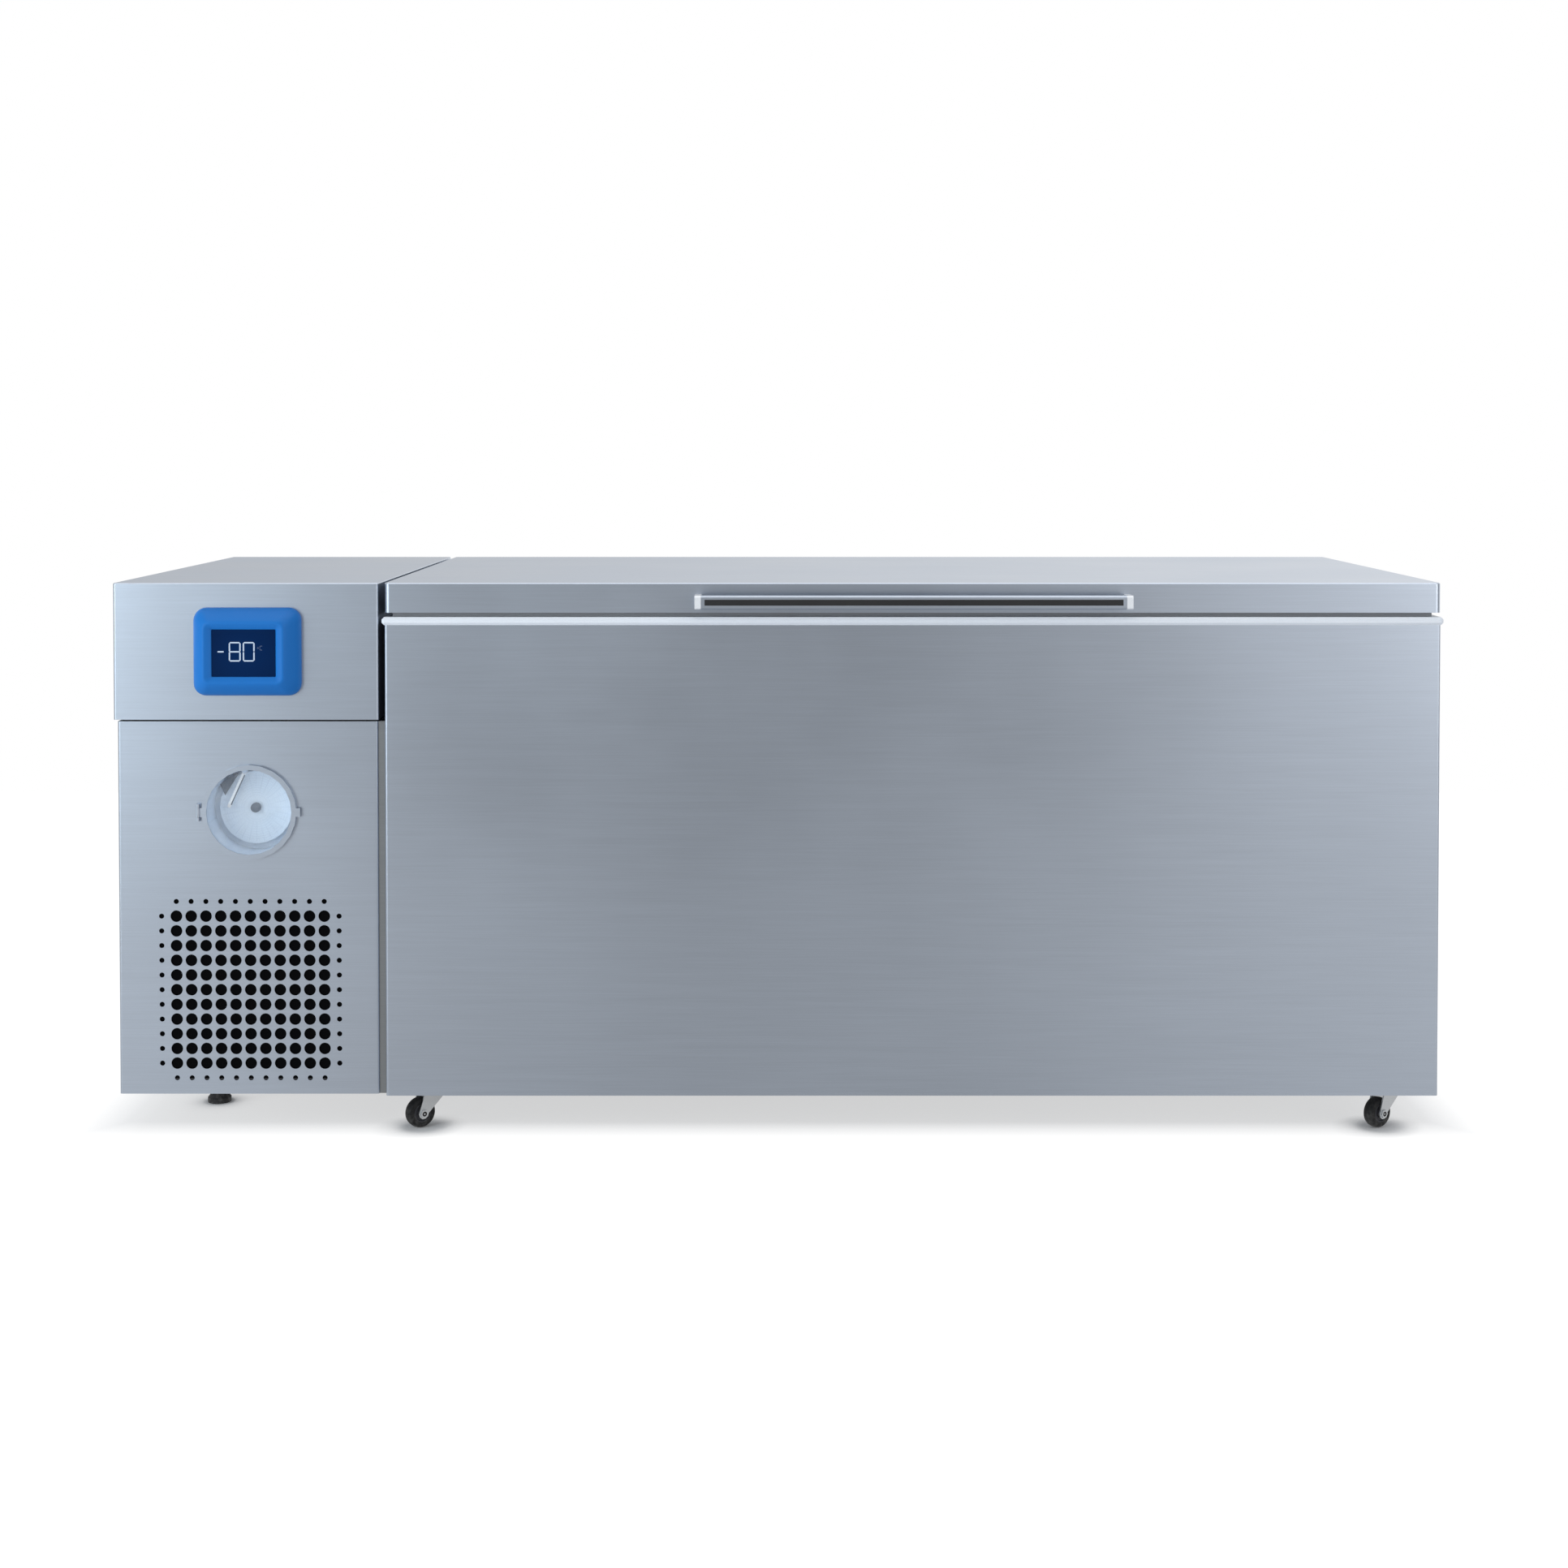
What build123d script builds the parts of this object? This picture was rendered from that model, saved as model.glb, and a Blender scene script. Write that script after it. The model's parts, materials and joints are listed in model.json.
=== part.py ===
from build123d import *

import os
from math import atan2, degrees

# Ultra low temperature chest freezer: an insulated chest with one long lid, and a machine
# compartment with a hood at its left end. Millimetres, +Z up, the front faces -Y.
# The origin is on the floor, under the middle of the whole freezer.

# Cabinet
CHEST_W = 1704.5
CHEST_D = 850.0
GROUND_GAP = 72.0
BODY_H = 764.0
COLLAR_H = 13.0
GASKET_H = 7.0
LID_H = 48.0
HOOD_W = 428.0
HOOD_H = 221.0
UNIT_GAP = 9.5
SKIN = 1.2
BEND_R = 4.0
PANEL_RETURN = 25.0

# Chest walls and storage space
WALL = 125.0
FLOOR_WALL = 130.0
PAN_LIFT = 3.0
PAN_T = 2.0
LINER_T = 1.5
COIL_GAP = 15.0
COIL_T = 7.0
COIL_H = 14.0
COIL_RINGS = 6
COIL_FIRST = 60.0
COIL_LAST = 99.0
HEADER_T = 7.0
HEADER_W = 20.0
COIL_FIT = 0.3
COLLAR_PROUD = 4.0
COLLAR_NOSE = 4.0

# Lid
LID_CORNER_R = 8.0
FOLD_EDGE = 1.5
PLUG_H = 55.0
PLUG_CLEAR = 12.0
GASKET_INSET = 12.0
GASKET_W = 30.0
GASKET_FIT = 0.3

# Lid handle
HANDLE_SPAN = 700.0
HANDLE_STANDOFF = 28.0
HANDLE_SHARE = 0.4
BAR_H = 22.0
BAR_T = 16.0
BAR_NOSE_R = 5.0
POST_W = 10.0
GRIP_H = 9.5
GRIP_T = 3.0
GRIP_END = 16.0

# Lid hinges
HINGE_COUNT = 3
HINGE_PITCH = 560.0
LEAF_W = 60.0
LEAF_T = 4.0
LID_LEAF_H = 40.0
BODY_LEAF_H = 90.0
KNUCKLE_R = 7.5
KNUCKLE_SIDES = 8
KNUCKLE_MID = 22.0
KNUCKLE_GAP = 0.5
HINGE_PIN_R = 3.5
HINGE_LIFT = 3.0

# Casters
CASTER_INSET_X = 62.0
CASTER_INSET_Y = 86.0
CASTER_TRAIL = 22.0
CASTER_TURN = 35.0
WHEEL_R = 25.0
WHEEL_W = 20.0
WHEEL_SIDES = 24
TREAD_CHAMFER = 3.0
HUB_R = 15.0
HUB_SIDES = 12
AXLE_R = 4.0
AXLE_HEAD_R = 7.0
BOLT_SIDES = 6
AXLE_HEAD_T = 3.0
FORK_T = 2.5
FORK_GAP = 1.5
FORK_EAR_R = 9.0
FORK_EAR_SIDES = 10
FORK_CROWN_Z = 54.0
FORK_CROWN_L = 40.0
RACE_R = 18.0
RACE_SIDES = 12
KINGPIN_R = 6.0
KINGPIN_HEAD_R = 9.0
KINGPIN_HEAD_T = 2.5
KINGPIN_HEAD_SIDES = 8
CASTER_PLATE_W = 60.0
CASTER_PLATE_T = 4.0
SWIVEL_GAP = 0.4

# Running clearance on the radius of every pin and shaft
RUN_FIT = 0.05

# Machine compartment
LOWER_INSET = 3.0
LOWER_SETBACK = 12.0
SHADOW_GAP = 4.0
DECK_INSET = 9.0
SIDE_FLANGE = 18.0
HOOD_FLANGE = 26.0
TRAY_T = 2.0
TRAY_RIM = 25.0
SPACER_R = 7.0
SPACER_SHARES = (0.2, 0.47, 0.92)
SPACER_SETBACK = 45.0
STRIP_SETBACK = 4.0
FOOT_INSET_X = 114.0
FOOT_INSET_Y = 228.0
FOOT_REAR_Y = 90.0
FOOT_R = 20.0
FOOT_SIDES = 16
FOOT_H = 16.0
FOOT_NECK_R = 13.0
STEM_R = 6.0
STEM_RISE = 26.0
BOSS_R = 12.0
BOSS_DROP = 26.0

# Vent holes in the machine front panel, set as eight-sided and six-sided punches
VENT_COUNT = 11
VENT_LAND = 5.0
VENT_SIDES = 8
VENT_EDGE_R = 4.2
VENT_EDGE_SIDES = 6
VENT_FOOT = 26.0
VENT_DROP = 146.0
VENT_MARGIN = 66.5

# Air path and refrigeration
FILTER_W = 330.0
FILTER_DROP = 136.0
FILTER_T = 10.0
CONDENSER_T = 60.0
CONDENSER_PLATE_T = 2.0
CONDENSER_FIN_INSET = 6.0
SHROUD_T = 2.0
FAN_MARGIN = 43.0
FAN_CLEAR = 5.0
SHROUD_RING_T = 3.0
SHROUD_RING_L = 34.0
SHROUD_SIDES = 36
FAN_HUB_R = 32.0
FAN_HUB_L = 24.0
FAN_HUB_SIDES = 16
FAN_BLADES = 5
BLADE_SHARE = 0.5
BLADE_T = 2.0
BLADE_TILT = 24.0
MOTOR_R = 38.0
MOTOR_L = 58.0
MOTOR_SIDES = 20
MOTOR_SHAFT_R = 4.0
STRAP_W = 22.0
STRAP_T = 3.0
COMPRESSOR_R = 78.0
COMPRESSOR_SIDES = 24
COMPRESSOR_H = 215.0
COMPRESSOR_DOME = 40.0
COMPRESSOR_NECK_R = 40.0
COMPRESSOR_PLATE = 150.0
COMPRESSOR_PLATE_T = 4.0
COMPRESSOR_FIRST_Y = 350.0
COMPRESSOR_PITCH = 250.0
GROMMET_R = 11.0
GROMMET_H = 14.0
GROMMET_SIDES = 8
GROMMET_INSET = 16.0
EXCHANGER_W = 110.0
EXCHANGER_D = 150.0
EXCHANGER_LIFT = 122.0
EXCHANGER_DROP = 40.0
EXCHANGER_EDGE_R = 12.0
LINE_R = 6.0
LINE_SIDES = 8
LINE_BEND = 20.0
LINE_RISE = 58.0
LINE_ASIDE = 30.0
DRIER_R = 13.0
DRIER_L = 80.0
DRIER_SIDES = 10
PORT_CLEAR = 3.0
PORT_SIDES = 12
CONTROL_W = 230.0
CONTROL_D = 260.0
CONTROL_H = 110.0
CONTROL_SETBACK = 380.0
CONTROL_EDGE = 6.0
REAR_SLOT_W = 140.0
REAR_SLOT_H = 9.0
REAR_SLOT_PITCH = 24.0
REAR_SLOT_ROWS = 10
REAR_SLOT_GAP = 40.0
REAR_SLOT_Z = 150.0

# Display
BEZEL_W = 173.0
BEZEL_H = 142.0
BEZEL_R = 20.0
BEZEL_FACETS = 3
BEZEL_FRONT_W = 131.0
BEZEL_FRONT_H = 102.0
BEZEL_FRONT_R = 10.0
BEZEL_LAND = 3.0
BEZEL_T = 38.0
BEZEL_WALL = 4.0
BEZEL_OFFSET_X = 3.8
SCREEN_W = 103.0
SCREEN_H = 76.0
SCREEN_T = 2.0
SCREEN_RECESS = 6.0
MODULE_MARGIN = 3.0
MODULE_T = 10.0

# Chart recorder
REC_OFFSET_X = 2.5
REC_DROP = 147.0
REC_SIDES = 24
REC_TUBE_R = 72.0
REC_WALL = 2.0
REC_DEPTH = 60.0
REC_FLANGE_R = 77.0
REC_FLANGE_T = 2.0
REC_FIT = 0.5
DOOR_GAP = 0.4
DOOR_T = 5.0
DOOR_LIP_R = 69.0
WINDOW_T = 2.5
WINDOW_REBATE = 2.0
DOOR_AXIS_OUT = 5.0
DOOR_KNUCKLE_R = 3.0
DOOR_KNUCKLE_H = 15.0
DOOR_PIN_R = 1.2
DOOR_LUG_H = 6.0
DOOR_LUG_GAP = 0.4
DOOR_TAB_L = 6.0
DOOR_TAB_H = 14.0
CHART_R = 60.0
CHART_T = 0.8
CHART_DEPTH = 50.0
CHART_KNOB_R = 8.0
CHART_KNOB_L = 8.0
CHART_KNOB_SIDES = 12
CHART_SHAFT_R = 3.0
REC_MOTOR_R = 26.0
REC_MOTOR_L = 20.0
REC_MOTOR_SIDES = 16
REC_SHAFT_GRIP = 12.0
PEN_PIVOT_X = -16.0
PEN_PIVOT_Z = 61.0
PEN_TIP_X = -42.0
PEN_TIP_Z = 4.0
PEN_POST_R = 2.0
PEN_CAP_R = 4.0
PEN_CAP_T = 2.5
PEN_SIDES = 10
PEN_HUB_R = 5.0
PEN_HUB_L = 6.0
PEN_W = 6.0
PEN_T = 1.2
PEN_DEPTH = 40.0
PEN_NIB_R = 1.2
PEN_NIB_GAP = 0.5
PEN_GAP = 0.3

# Mains inlet and its rocker
INLET_W = 28.0
INLET_H = 62.0
INLET_D = 26.0
INLET_LIP = 4.0
INLET_LIP_T = 3.0
INLET_SOCKET_W = 22.0
INLET_SOCKET_H = 17.0
INLET_SOCKET_D = 18.0
INLET_SOCKET_Z = -14.0
INLET_INSET_X = 90.0
INLET_DROP = 119.0
ROCKER_W = 17.0
ROCKER_H = 24.0
ROCKER_D = 9.0
ROCKER_TILT = 9.0
ROCKER_GAP = 1.5
ROCKER_Z = 14.0
ROCKER_SHOW = 3.0

# Levels above the floor
Z_BODY = GROUND_GAP + BODY_H
Z_COLLAR = Z_BODY + COLLAR_H
Z_LID = Z_COLLAR + GASKET_H
Z_TOP = Z_LID + LID_H
Z_HOOD = Z_TOP - HOOD_H
Z_LOWER = Z_HOOD - SHADOW_GAP
Z_PAN = GROUND_GAP + PAN_LIFT
Z_FLOOR = GROUND_GAP + FLOOR_WALL
Z_HINGE = Z_COLLAR + HINGE_LIFT
Z_HANDLE = Z_LID + HANDLE_SHARE * LID_H
Z_TRAY = GROUND_GAP + TRAY_T
Z_DISPLAY = Z_HOOD + HOOD_H / 2
REC_Z = Z_LOWER - REC_DROP
INLET_Z = Z_LOWER - INLET_DROP
FILTER_H = REC_Z - FILTER_DROP - Z_TRAY
Z_COMPRESSOR = Z_TRAY + GROMMET_H + COMPRESSOR_PLATE_T + COMPRESSOR_H
Z_EXCHANGER1 = Z_LOWER - EXCHANGER_DROP
Z_EXCHANGER0 = Z_COMPRESSOR + EXCHANGER_LIFT

# Planes across the freezer
SPAN = HOOD_W + UNIT_GAP + CHEST_W + COLLAR_PROUD
X_HOOD0 = -SPAN / 2
X_HOOD1 = X_HOOD0 + HOOD_W
X_CHEST0 = X_HOOD1 + UNIT_GAP
X_CHEST1 = X_CHEST0 + CHEST_W
X_CHEST = (X_CHEST0 + X_CHEST1) / 2
X_LOWER0 = X_HOOD0 + LOWER_INSET
X_LOWER1 = X_HOOD1 - LOWER_INSET
X_LOWER = (X_LOWER0 + X_LOWER1) / 2
X_IN0 = X_CHEST0 + WALL
X_IN1 = X_CHEST1 - WALL
X_FOOT = X_HOOD0 + FOOT_INSET_X
X_REC = X_LOWER + REC_OFFSET_X
X_BEZEL = X_LOWER + BEZEL_OFFSET_X
X_LINE = X_REC - REC_FLANGE_R - LINE_ASIDE

# Planes from front to rear
HANDLE_REACH = HANDLE_STANDOFF + BAR_T
HINGE_OUT = KNUCKLE_R + KNUCKLE_GAP
HINGE_REACH = HINGE_OUT + KNUCKLE_R
Y_FRONT = (HANDLE_REACH - HINGE_REACH - CHEST_D) / 2
Y_REAR = Y_FRONT + CHEST_D
Y_IN0 = Y_FRONT + WALL
Y_IN1 = Y_REAR - WALL
Y_HINGE = Y_REAR + HINGE_OUT
Y_LOWER0 = Y_FRONT + LOWER_SETBACK
Y_LOWER1 = Y_REAR - LOWER_SETBACK
Y_FILTER = Y_LOWER0 + 2 * SKIN
Y_CONDENSER = Y_FILTER + FILTER_T
Y_SHROUD = Y_CONDENSER + CONDENSER_T
Y_STRAP = Y_SHROUD + SHROUD_T + SHROUD_RING_L
Y_COMPRESSORS = [Y_FRONT + COMPRESSOR_FIRST_Y + i * COMPRESSOR_PITCH for i in range(2)]
Y_FEET = [Y_FRONT + FOOT_INSET_Y, Y_REAR - FOOT_REAR_Y]

# The square vent field between the panel's foot, its sides and the recorder, and the fan behind
Z_VENT0 = GROUND_GAP + VENT_FOOT
VENT_ROOM = min(REC_Z - VENT_DROP - Z_VENT0, X_LOWER1 - X_LOWER0 - 2 * VENT_MARGIN)
VENT_PITCH = VENT_ROOM / (VENT_COUNT + 1)
VENT_R = (VENT_PITCH - VENT_LAND) / 2
VENT_CENTRE_Z = Z_VENT0 + VENT_ROOM / 2
FAN_R = min(FILTER_W, FILTER_H) / 2 - FAN_MARGIN
BLADE_W = FAN_R * BLADE_SHARE

# Kingpin axes of the four casters
CASTERS = {
    "front_left": (X_CHEST0 + CASTER_INSET_X, Y_FRONT + CASTER_INSET_Y),
    "front_right": (X_CHEST1 - CASTER_INSET_X, Y_FRONT + CASTER_INSET_Y),
    "rear_left": (X_CHEST0 + CASTER_INSET_X, Y_REAR - CASTER_INSET_Y),
    "rear_right": (X_CHEST1 - CASTER_INSET_X, Y_REAR - CASTER_INSET_Y),
}

# Lid hinge centres
HINGE_XS = [X_CHEST + (i - (HINGE_COUNT - 1) / 2) * HINGE_PITCH for i in range(HINGE_COUNT)]


def block(x0, x1, y0, y1, z0, z1):
    """A box between two planes on each axis."""
    middle = Pos((x0 + x1) / 2, (y0 + y1) / 2, (z0 + z1) / 2)
    return middle * Box(x1 - x0, y1 - y0, z1 - z0)


def rod_x(radius, x0, x1, y, z):
    """A cylinder along X."""
    return Pos((x0 + x1) / 2, y, z) * Rot(0, 90, 0) * Cylinder(radius, x1 - x0)


def rod_y(radius, x, y0, y1, z):
    """A cylinder along Y."""
    return Pos(x, (y0 + y1) / 2, z) * Rot(90, 0, 0) * Cylinder(radius, y1 - y0)


def rod_z(radius, x, y, z0, z1):
    """A cylinder along Z."""
    return Pos(x, y, (z0 + z1) / 2) * Cylinder(radius, z1 - z0)


def prism_x(sides, radius, x0, x1, y, z):
    """A prism along X whose corners lie on a circle."""
    end = Plane(origin=(x0, y, z), x_dir=(0, 1, 0), z_dir=(1, 0, 0))
    return extrude(end * RegularPolygon(radius, sides), x1 - x0)


def prism_y(sides, radius, x, y0, y1, z):
    """A prism along Y whose corners lie on a circle."""
    return extrude(facing(y1) * Pos(x, z) * RegularPolygon(radius, sides), y1 - y0)


def prism_z(sides, radius, x, y, z0, z1):
    """A prism along Z whose corners lie on a circle."""
    return extrude(Pos(x, y, z0) * RegularPolygon(radius, sides), z1 - z0)


def ring_y(sides, radius, x, y, z):
    """The corners of an upright polygon that faces the viewer."""
    return [Vector(x, y, z) + Vector(radius, 0, 0).rotate(Axis.Y, 360 * i / sides) for i in range(sides)]


def ring_z(sides, radius, x, y, z):
    """The corners of a level polygon."""
    return [Vector(x, y, z) + Vector(radius, 0, 0).rotate(Axis.Z, 360 * i / sides) for i in range(sides)]


def faceted(rings):
    """A solid between rings of corners, with one flat face between each pair of neighbours."""
    faces = [Face(Wire.make_polygon(rings[0])), Face(Wire.make_polygon(rings[-1]))]
    for near, far in zip(rings, rings[1:]):
        for i in range(len(near)):
            faces.append(Face(Wire.make_polygon((near[i - 1], near[i], far[i], far[i - 1]))))
    return Solid(Shell(faces))


def facing(y):
    """A plane that faces the viewer at depth y, with X to the right and Z up."""
    return Plane(origin=(0, y, 0), x_dir=(1, 0, 0), z_dir=(0, -1, 0))


def group(*shapes):
    """Separate solids of one node, kept apart."""
    return Compound([solid for shape in shapes for solid in shape.solids()])


def rounded_front(shape, radius):
    """Rounds the two upright edges at the front of a block."""
    return fillet(shape.edges().filter_by(Axis.Z).group_by(Axis.Y)[0], radius)


def bent_front(x0, x1, y0, z0, z1):
    """A front sheet whose two upright edges are bent back as returns."""
    outer = rounded_front(block(x0, x1, y0, y0 + PANEL_RETURN, z0, z1), BEND_R)
    hollow = block(x0 + SKIN, x1 - SKIN, y0 + SKIN, y0 + 2 * PANEL_RETURN, z0, z1)
    return outer - rounded_front(hollow, BEND_R - SKIN)


def frame_strips(outer, inner, z0, z1):
    """Four straight strips that make a rectangular ring: front, rear, left and right."""
    ox0, ox1, oy0, oy1 = outer
    ix0, ix1, iy0, iy1 = inner
    return [
        block(ox0, ox1, oy0, iy0, z0, z1),
        block(ox0, ox1, iy1, oy1, z0, z1),
        block(ox0, ix0, iy0, iy1, z0, z1),
        block(ix1, ox1, iy0, iy1, z0, z1),
    ]


def line_path(*points):
    """A refrigerant line: straight runs with each corner cut across."""
    stops = [Vector(point) for point in points]
    path = [stops[0]]
    for before, corner, after in zip(stops, stops[1:], stops[2:]):
        path.append(corner + (before - corner).normalized() * LINE_BEND)
        path.append(corner + (after - corner).normalized() * LINE_BEND)
    run = Polyline(*path, stops[-1])
    section = Plane(origin=run @ 0, z_dir=run % 0) * RegularPolygon(LINE_R, LINE_SIDES)
    return sweep(section, path=run, transition=Transition.RIGHT)


# Where the evaporator line leaves the machine compartment
EXCHANGER_Y = Y_COMPRESSORS[1]
X_EXCHANGER1 = X_LOWER1 - SKIN
PORT_Y = EXCHANGER_Y - EXCHANGER_D / 2 - LINE_RISE
PORT_Z = (Z_EXCHANGER0 + Z_EXCHANGER1) / 2
PORT_R = LINE_R + PORT_CLEAR
X_HEADER0 = X_IN0 - LINER_T - COIL_FIT - COIL_T - HEADER_T


def chest_panels():
    """The five sheets round the chest."""
    port = prism_x(PORT_SIDES, PORT_R, X_CHEST0 - SKIN, X_CHEST0 + 2 * SKIN, PORT_Y, PORT_Z)
    side_y = (Y_FRONT + PANEL_RETURN, Y_REAR - SKIN)
    left = block(X_CHEST0, X_CHEST0 + SKIN, *side_y, GROUND_GAP, Z_BODY) - port
    pan = block(X_CHEST0 + SKIN, X_CHEST1 - SKIN, Y_FRONT + SKIN, Y_REAR - SKIN, Z_PAN, Z_PAN + PAN_T)
    return {
        "chest_front_panel": bent_front(X_CHEST0, X_CHEST1, Y_FRONT, GROUND_GAP, Z_BODY),
        "chest_left_panel": left,
        "chest_right_panel": block(X_CHEST1 - SKIN, X_CHEST1, *side_y, GROUND_GAP, Z_BODY),
        "chest_rear_panel": block(X_CHEST0, X_CHEST1, Y_REAR - SKIN, Y_REAR, GROUND_GAP, Z_BODY),
        "chest_floor_pan": rounded_front(pan, BEND_R - SKIN),
    }


def chest_insulation():
    """The foam tub between the panels and the liner, open above and round the coil."""
    foam = block(
        X_CHEST0 + SKIN, X_CHEST1 - SKIN, Y_FRONT + SKIN, Y_REAR - SKIN, Z_PAN + PAN_T, Z_BODY
    )
    room = LINER_T + COIL_GAP
    hollow = block(
        X_IN0 - room, X_IN1 + room, Y_IN0 - room, Y_IN1 + room, Z_FLOOR - LINER_T, Z_BODY
    )
    port = prism_x(PORT_SIDES, PORT_R, X_CHEST0, X_IN0, PORT_Y, PORT_Z)
    return rounded_front(foam, BEND_R - SKIN) - hollow - port


def inner_liner():
    """The storage tank: four wall plates and a floor plate welded along their edges."""
    outer = (X_IN0 - LINER_T, X_IN1 + LINER_T, Y_IN0 - LINER_T, Y_IN1 + LINER_T)
    walls = frame_strips(outer, (X_IN0, X_IN1, Y_IN0, Y_IN1), Z_FLOOR, Z_BODY)
    return group(*walls, block(*outer, Z_FLOOR - LINER_T, Z_FLOOR))


def evaporator_coil():
    """Flat tubes round the liner, joined by one upright header at the left end."""
    inner = LINER_T + COIL_FIT
    outer = inner + COIL_T
    first, last = Z_FLOOR + COIL_FIRST, Z_BODY - COIL_LAST
    pitch = (last - first) / (COIL_RINGS - 1)
    levels = [first + i * pitch for i in range(COIL_RINGS)]
    header = block(
        X_HEADER0, X_IN0 - outer,
        PORT_Y - HEADER_W / 2, PORT_Y + HEADER_W / 2, first, last + COIL_H,
    )
    for level in levels:
        tube = block(X_IN0 - outer, X_IN1 + outer, Y_IN0 - outer, Y_IN1 + outer, level, level + COIL_H)
        tube -= block(X_IN0 - inner, X_IN1 + inner, Y_IN0 - inner, Y_IN1 + inner, level, level + COIL_H)
        header += tube
    return header


def breaker_collar():
    """The white strips that bridge the panels and the liner, with a bevelled nose outside."""
    outer = (X_CHEST0 - COLLAR_PROUD, X_CHEST1 + COLLAR_PROUD, Y_FRONT - COLLAR_PROUD, Y_REAR)
    front, rear, left, right = frame_strips(outer, (X_IN0, X_IN1, Y_IN0, Y_IN1), Z_BODY, Z_COLLAR)
    ends = [rear.edges().filter_by(Axis.Y).group_by(Axis.X)[i] for i in (0, -1)]
    nose = front.edges().filter_by(Axis.Y) + front.edges().group_by(Axis.Y)[0]
    return group(
        chamfer(nose, COLLAR_NOSE),
        chamfer(ends[0] + ends[1], COLLAR_NOSE),
        chamfer(left.edges().filter_by(Axis.Y).group_by(Axis.X)[0], COLLAR_NOSE),
        chamfer(right.edges().filter_by(Axis.Y).group_by(Axis.X)[-1], COLLAR_NOSE),
    )


def lid_shell():
    """The outer pan, its foam, the inner liner with the plug, and the gasket."""
    outer = block(X_CHEST0, X_CHEST1, Y_FRONT, Y_REAR, Z_LID, Z_TOP)
    outer = fillet(outer.edges().filter_by(Axis.Z), LID_CORNER_R)
    outer = chamfer(outer.faces().sort_by(Axis.Z)[-1].edges(), FOLD_EDGE)
    inside = block(
        X_CHEST0 + SKIN, X_CHEST1 - SKIN, Y_FRONT + SKIN, Y_REAR - SKIN, Z_LID, Z_TOP - SKIN
    )
    inside = fillet(inside.edges().filter_by(Axis.Z), LID_CORNER_R - SKIN)
    base = inside & block(X_CHEST0, X_CHEST1, Y_FRONT, Y_REAR, Z_LID, Z_LID + LINER_T)
    edges = (X_IN0 + PLUG_CLEAR, X_IN1 - PLUG_CLEAR, Y_IN0 + PLUG_CLEAR, Y_IN1 - PLUG_CLEAR)
    core = (edges[0] + LINER_T, edges[1] - LINER_T, edges[2] + LINER_T, edges[3] - LINER_T)
    plug = block(*edges, Z_LID - PLUG_H, Z_LID)
    fill = block(*core, Z_LID - PLUG_H + LINER_T, Z_LID + LINER_T)
    seal = (X_CHEST0 + GASKET_INSET, X_CHEST1 - GASKET_INSET, Y_FRONT + GASKET_INSET, Y_REAR - GASKET_INSET)
    bore = (seal[0] + GASKET_W, seal[1] - GASKET_W, seal[2] + GASKET_W, seal[3] - GASKET_W)
    return {
        "lid_pan": outer - inside,
        "lid_insulation": inside - base + fill,
        "lid_liner": base + plug - fill,
        "lid_gasket": group(*frame_strips(seal, bore, Z_COLLAR + GASKET_FIT, Z_LID)),
    }


def lid_handle():
    """A straight bar on two end posts, with a dark strip let into its front."""
    x0, x1 = X_CHEST - HANDLE_SPAN / 2, X_CHEST + HANDLE_SPAN / 2
    y0, y1 = Y_FRONT - HANDLE_REACH, Y_FRONT - HANDLE_STANDOFF
    z0, z1 = Z_HANDLE - BAR_H / 2, Z_HANDLE + BAR_H / 2
    bar = block(x0 + POST_W, x1 - POST_W, y0, y1, z0, z1)
    bar = fillet(bar.edges().filter_by(Axis.X).group_by(Axis.Y)[0], BAR_NOSE_R)
    grip_z = (Z_HANDLE - GRIP_H / 2, Z_HANDLE + GRIP_H / 2)
    grip = block(x0 + GRIP_END, x1 - GRIP_END, y0, y0 + GRIP_T, *grip_z)
    posts = []
    for near, far in ((x0, x0 + POST_W), (x1 - POST_W, x1)):
        post = block(near, far, y0, Y_FRONT, z0, z1)
        posts.append(fillet(post.edges().filter_by(Axis.X).group_by(Axis.Y)[0], BAR_NOSE_R))
    return {"handle_bar": bar - grip, "handle_grip": grip, "handle_posts": group(*posts)}


def lid_hinges():
    """Butt hinges across the rear: leaves on the chest with the pins pressed in, leaves on the lid."""
    body_leaves = []
    lid_leaves = []
    half_mid = KNUCKLE_MID / 2
    clear = KNUCKLE_R + 2 * KNUCKLE_GAP
    for x in HINGE_XS:
        x0, x1 = x - LEAF_W / 2, x + LEAF_W / 2
        gap = half_mid + KNUCKLE_GAP
        body = block(x0, x1, Y_REAR, Y_REAR + LEAF_T, Z_HINGE - BODY_LEAF_H, Z_HINGE)
        body += prism_x(KNUCKLE_SIDES, KNUCKLE_R, x0, x - gap, Y_HINGE, Z_HINGE)
        body += prism_x(KNUCKLE_SIDES, KNUCKLE_R, x + gap, x1, Y_HINGE, Z_HINGE)
        body -= block(x - gap, x + gap, Y_REAR, Y_HINGE, Z_HINGE - clear, Z_HINGE)
        lid = block(x0, x1, Y_REAR, Y_REAR + LEAF_T, Z_HINGE + clear, Z_LID + LID_LEAF_H)
        lid += block(x - half_mid, x + half_mid, Y_REAR, Y_REAR + LEAF_T, Z_LID, Z_HINGE + clear)
        lid += prism_x(KNUCKLE_SIDES, KNUCKLE_R, x - half_mid, x + half_mid, Y_HINGE, Z_HINGE)
        body_leaves.append(body + rod_x(HINGE_PIN_R, x - gap, x + gap, Y_HINGE, Z_HINGE))
        lid_leaves.append(lid - rod_x(HINGE_PIN_R + RUN_FIT, x - half_mid, x + half_mid, Y_HINGE, Z_HINGE))
    return {"hinge_body_leaves": group(*body_leaves), "hinge_lid_leaves": group(*lid_leaves)}


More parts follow.
